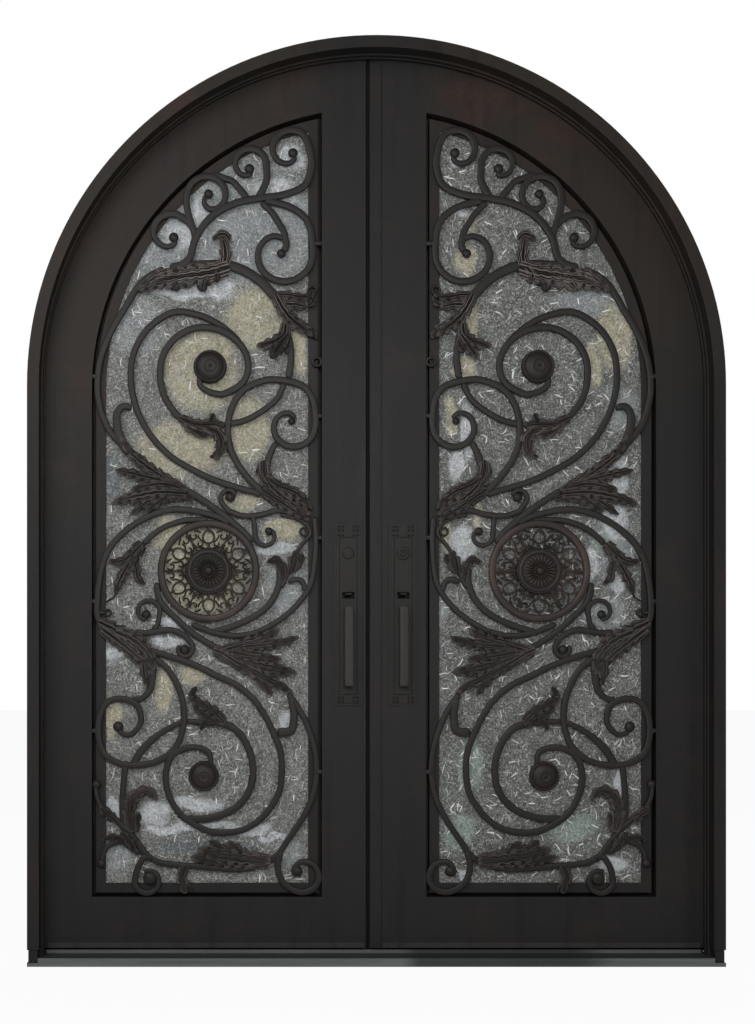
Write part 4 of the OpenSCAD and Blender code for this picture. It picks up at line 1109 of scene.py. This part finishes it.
def dressLeaf(side, seed):
    # All pieces of one leaf: the grille is made for the right one and mirrored for the left. Plates and
    # grips stand on both faces. Gives back the place of the plates' middle.
    body = side + "_leaf"
    for name, node, surface, finish, options in grillePieces:
        surface = surface if side == "right" else mirroredAt(surface, 0, 0)
        makePiece(side + name, surface, body, finish, "scroll_iron", [side + node], **options)
    low, high = boxOf(side + "_pull_plates")
    middle = (low[0] + high[0]) / 2
    thumbLow, thumbHigh = boxOf(side + "_thumb_piece")
    outer = moved(pullPlate(low, high, (thumbLow[2] + thumbHigh[2]) / 2), (middle, 0, 0))
    inner = mirroredAt(moved(pullPlate(low, high), (middle, 0, 0)), 1, leafBack / 2)
    makePiece(side + "PullPlates", joined([outer, inner]), body, plateIron, "pull_iron",
              [side + "_pull_plates"], settle=False)
    bar = moved(pullGrip(*boxOf(side + "_pull_grips")), (middle, 0, 0))
    makePiece(side + "PullGrips", joined([bar, mirroredAt(bar, 1, leafBack / 2)]), body, gripIron,
              "pull_iron", [side + "_pull_grips"])
    makePiece(side + "ThumbPress", thumbPress(thumbLow, thumbHigh), side + "_thumb", gripIron, "pull_iron",
              [side + "_thumb_piece"])
    surface, shades = glassStrokes(side, seed)
    makePiece(side + "GlassRidges", surface, body, glassRidge, "obscure_glass", marks=shades)
    return middle


leftPull = dressLeaf("left", 41)
rightPull = dressLeaf("right", 42)
makePiece("keyRose", keyFace((rightPull, keyHeight), -plateThick - keyRose["proud"]), "right_leaf", plateIron,
          "pull_iron", ["key_cylinder"])
makePiece("blankRose", turned((leftPull, keyHeight), curveThrough(blankProfile, 4).tolist(), 48),
          "left_leaf", plateIron, "pull_iron", sharp=60)

pile = {"clear": 0.5, "rise": 4, "back": 14, "thick": 4, "rows": 1200, "wave": 0.5, "pitch": 7.3}


def pileSeal():
    # Brush of the meeting gap, from the threshold to the top of the leaves, in front of the seal's own
    # strip. It is waved along its tip.
    high = boxOf("meeting_seal")[1]
    edge = boxOf("left_lock_stile")[1]
    tip = edge[0] + pile["clear"]
    foot, top = boxOf("threshold_strip")[1][2] + pile["clear"], edge[2] + pile["rise"]
    z = np.linspace(foot, top, pile["rows"])[:, None]
    outline = np.array([(high[0], 0), (tip, 0), (tip, 1), (high[0], 1)])
    wave = pile["wave"] * np.sin(z * 2 * np.pi / pile["pitch"])
    x = outline[:, 0][None, :] + 0 * z
    y = pile["back"] + pile["thick"] * outline[:, 1][None, :] + wave * (outline[:, 0] == tip)[None, :]
    grid = np.stack(np.broadcast_arrays(x, y, z), -1)
    middle = grid.mean(axis=1, keepdims=True) + 0 * grid
    grid = np.concatenate([middle[:1], grid, middle[-1:]])
    return grid.reshape(-1, 3), gridQuads(len(grid), 4, True)


makePiece("meetingPile", pileSeal(), "right_leaf", rubber, "seal_rubber")

sweepStrip = {
    "clear": 0.2, "outer": 0.5, "meeting": {"left": 0.5, "right": 8.7}, "overlap": 0.5, "thick": 6,
    "back": 40,
}


def footSweep(side):
    # Strip under a leaf, behind the threshold's own strip, down to just over the sill. It reaches into
    # the rebate at the hinges, and at the lock edge the right one reaches under the meeting gap.
    hinge, lock = boxOf(side + "_hinge_stile"), boxOf(side + "_lock_stile")
    outer, meeting = sweepStrip["outer"], sweepStrip["meeting"][side]
    if side == "left":
        near, far = hinge[0][0] - outer, lock[1][0] + meeting
    else:
        near, far = lock[0][0] - meeting, hinge[1][0] + outer
    foot = boxOf("sill")[1][2] + sweepStrip["clear"]
    patch = (near, far, foot, lock[0][2] + sweepStrip["overlap"], sweepStrip["thick"])
    return moved(relief([patch]), (0, sweepStrip["back"], 0))


for side in ("left", "right"):
    makePiece(side + "FootSweep", footSweep(side), side + "_leaf", rubber, "seal_rubber", settle=False)
print("pieces ready")

# Lamps are (name, place, point they face, diameter, power)
studio = {
    "floorSize": 60, "floorShade": shade(0.86, 0.86, 0.86), "floorGlow": 0.94, "world": 0.18,
    "lamps": [("keyLamp", (-2.2, -3.8, 3.0), (0, 0, 1.2), 3.0, 92),
              ("fillLamp", (3.2, -3.6, 2.4), (0, 0, 1.2), 3.0, 18),
              ("nearLamp", (0, -4.3, 1.75), (-0.1, 0, 1.3), 1.2, 55),
              ("backLamp", (1.5, 4.0, 3.6), (0, 0, 1.2), 3.0, 45)],
    "cameraBack": 4.0, "shift": (0.13, 0.16), "centre": (0.0026, 1.190), "lens": 53.76, "sensor": 36,
}


def seenRays(t):
    # 1 on rays from the camera or through glass
    camera, through = (t.node("LightPath", out="Is " + kind + " Ray") for kind in ("Camera", "Transmission"))
    return t.math("MAXIMUM", camera, through)


def makeFloor():
    # Pale floor that looks nearly white but keeps the object's shadow
    mesh = bpy.data.meshes.new("studioFloor")
    s = studio["floorSize"] / 2
    mesh.from_pydata([(-s, -s, 0), (s, -s, 0), (s, s, 0), (-s, s, 0)], [], [(0, 1, 2, 3)])
    floor = bpy.data.objects.new("studioFloor", mesh)
    f = Finish("studioFloor")
    f.use(color=studio["floorShade"], roughness=0.9, specular=0.1)
    glow = f.node("Emission", sockets={"Color": shade(1, 1, 1)})
    lit = Wire(f, f.shader.outputs[0])
    mixed = f.node("MixShader", sockets={0: seenRays(f) * studio["floorGlow"], 1: lit, 2: glow})
    f.tree.links.new(mixed.socket, f.output.inputs[0])
    mesh.materials.append(f.material)
    bpy.context.scene.collection.objects.link(floor)


def makeLamp(name, place, aim, size, power):
    light = bpy.data.lights.new(name, "AREA")
    light.shape, light.size, light.energy = "DISK", size, power
    lamp = bpy.data.objects.new(name, light)
    lamp.location = place
    direction = np.array(aim, float) - place
    lamp.rotation_euler = (math.atan2(math.hypot(*direction[:2]), -direction[2]), 0,
                           math.atan2(-direction[0], direction[1]))
    bpy.context.scene.collection.objects.link(lamp)


def makeWorld():
    # White where it is seen or looked at through glass; grey as a light
    world = bpy.data.worlds.new("studio")
    world.use_nodes = True
    bpy.context.scene.world = world
    t = NodeTree(world.node_tree)
    grey = studio["world"]
    color = t.blend(shade(grey, grey, grey), shade(1, 1, 1), seenRays(t))
    light = t.node("Background", sockets={"Color": color})
    output = t.tree.nodes.new("ShaderNodeOutputWorld")
    t.tree.links.new(light.socket, output.inputs["Surface"])


makeFloor()
makeWorld()
for lamp in studio["lamps"]:
    makeLamp(*lamp)

# The view is square on to the door; a shift frames it from a little left of its middle
span = studio["cameraBack"] * studio["sensor"] / studio["lens"]
view = bpy.data.cameras.new("frontView")
view.lens, view.sensor_width = studio["lens"], studio["sensor"]
view.shift_x, view.shift_y = studio["shift"]
camera = bpy.data.objects.new("frontView", view)
x, z = (centre - shift * span for centre, shift in zip(studio["centre"], studio["shift"]))
camera.location = (x, cadBounds[0][1] - studio["cameraBack"], z)
camera.rotation_euler = (math.radians(90), 0, 0)
bpy.context.scene.collection.objects.link(camera)
bpy.context.scene.camera = camera
bpy.context.scene.view_settings.view_transform = "Standard"
print("studio ready")
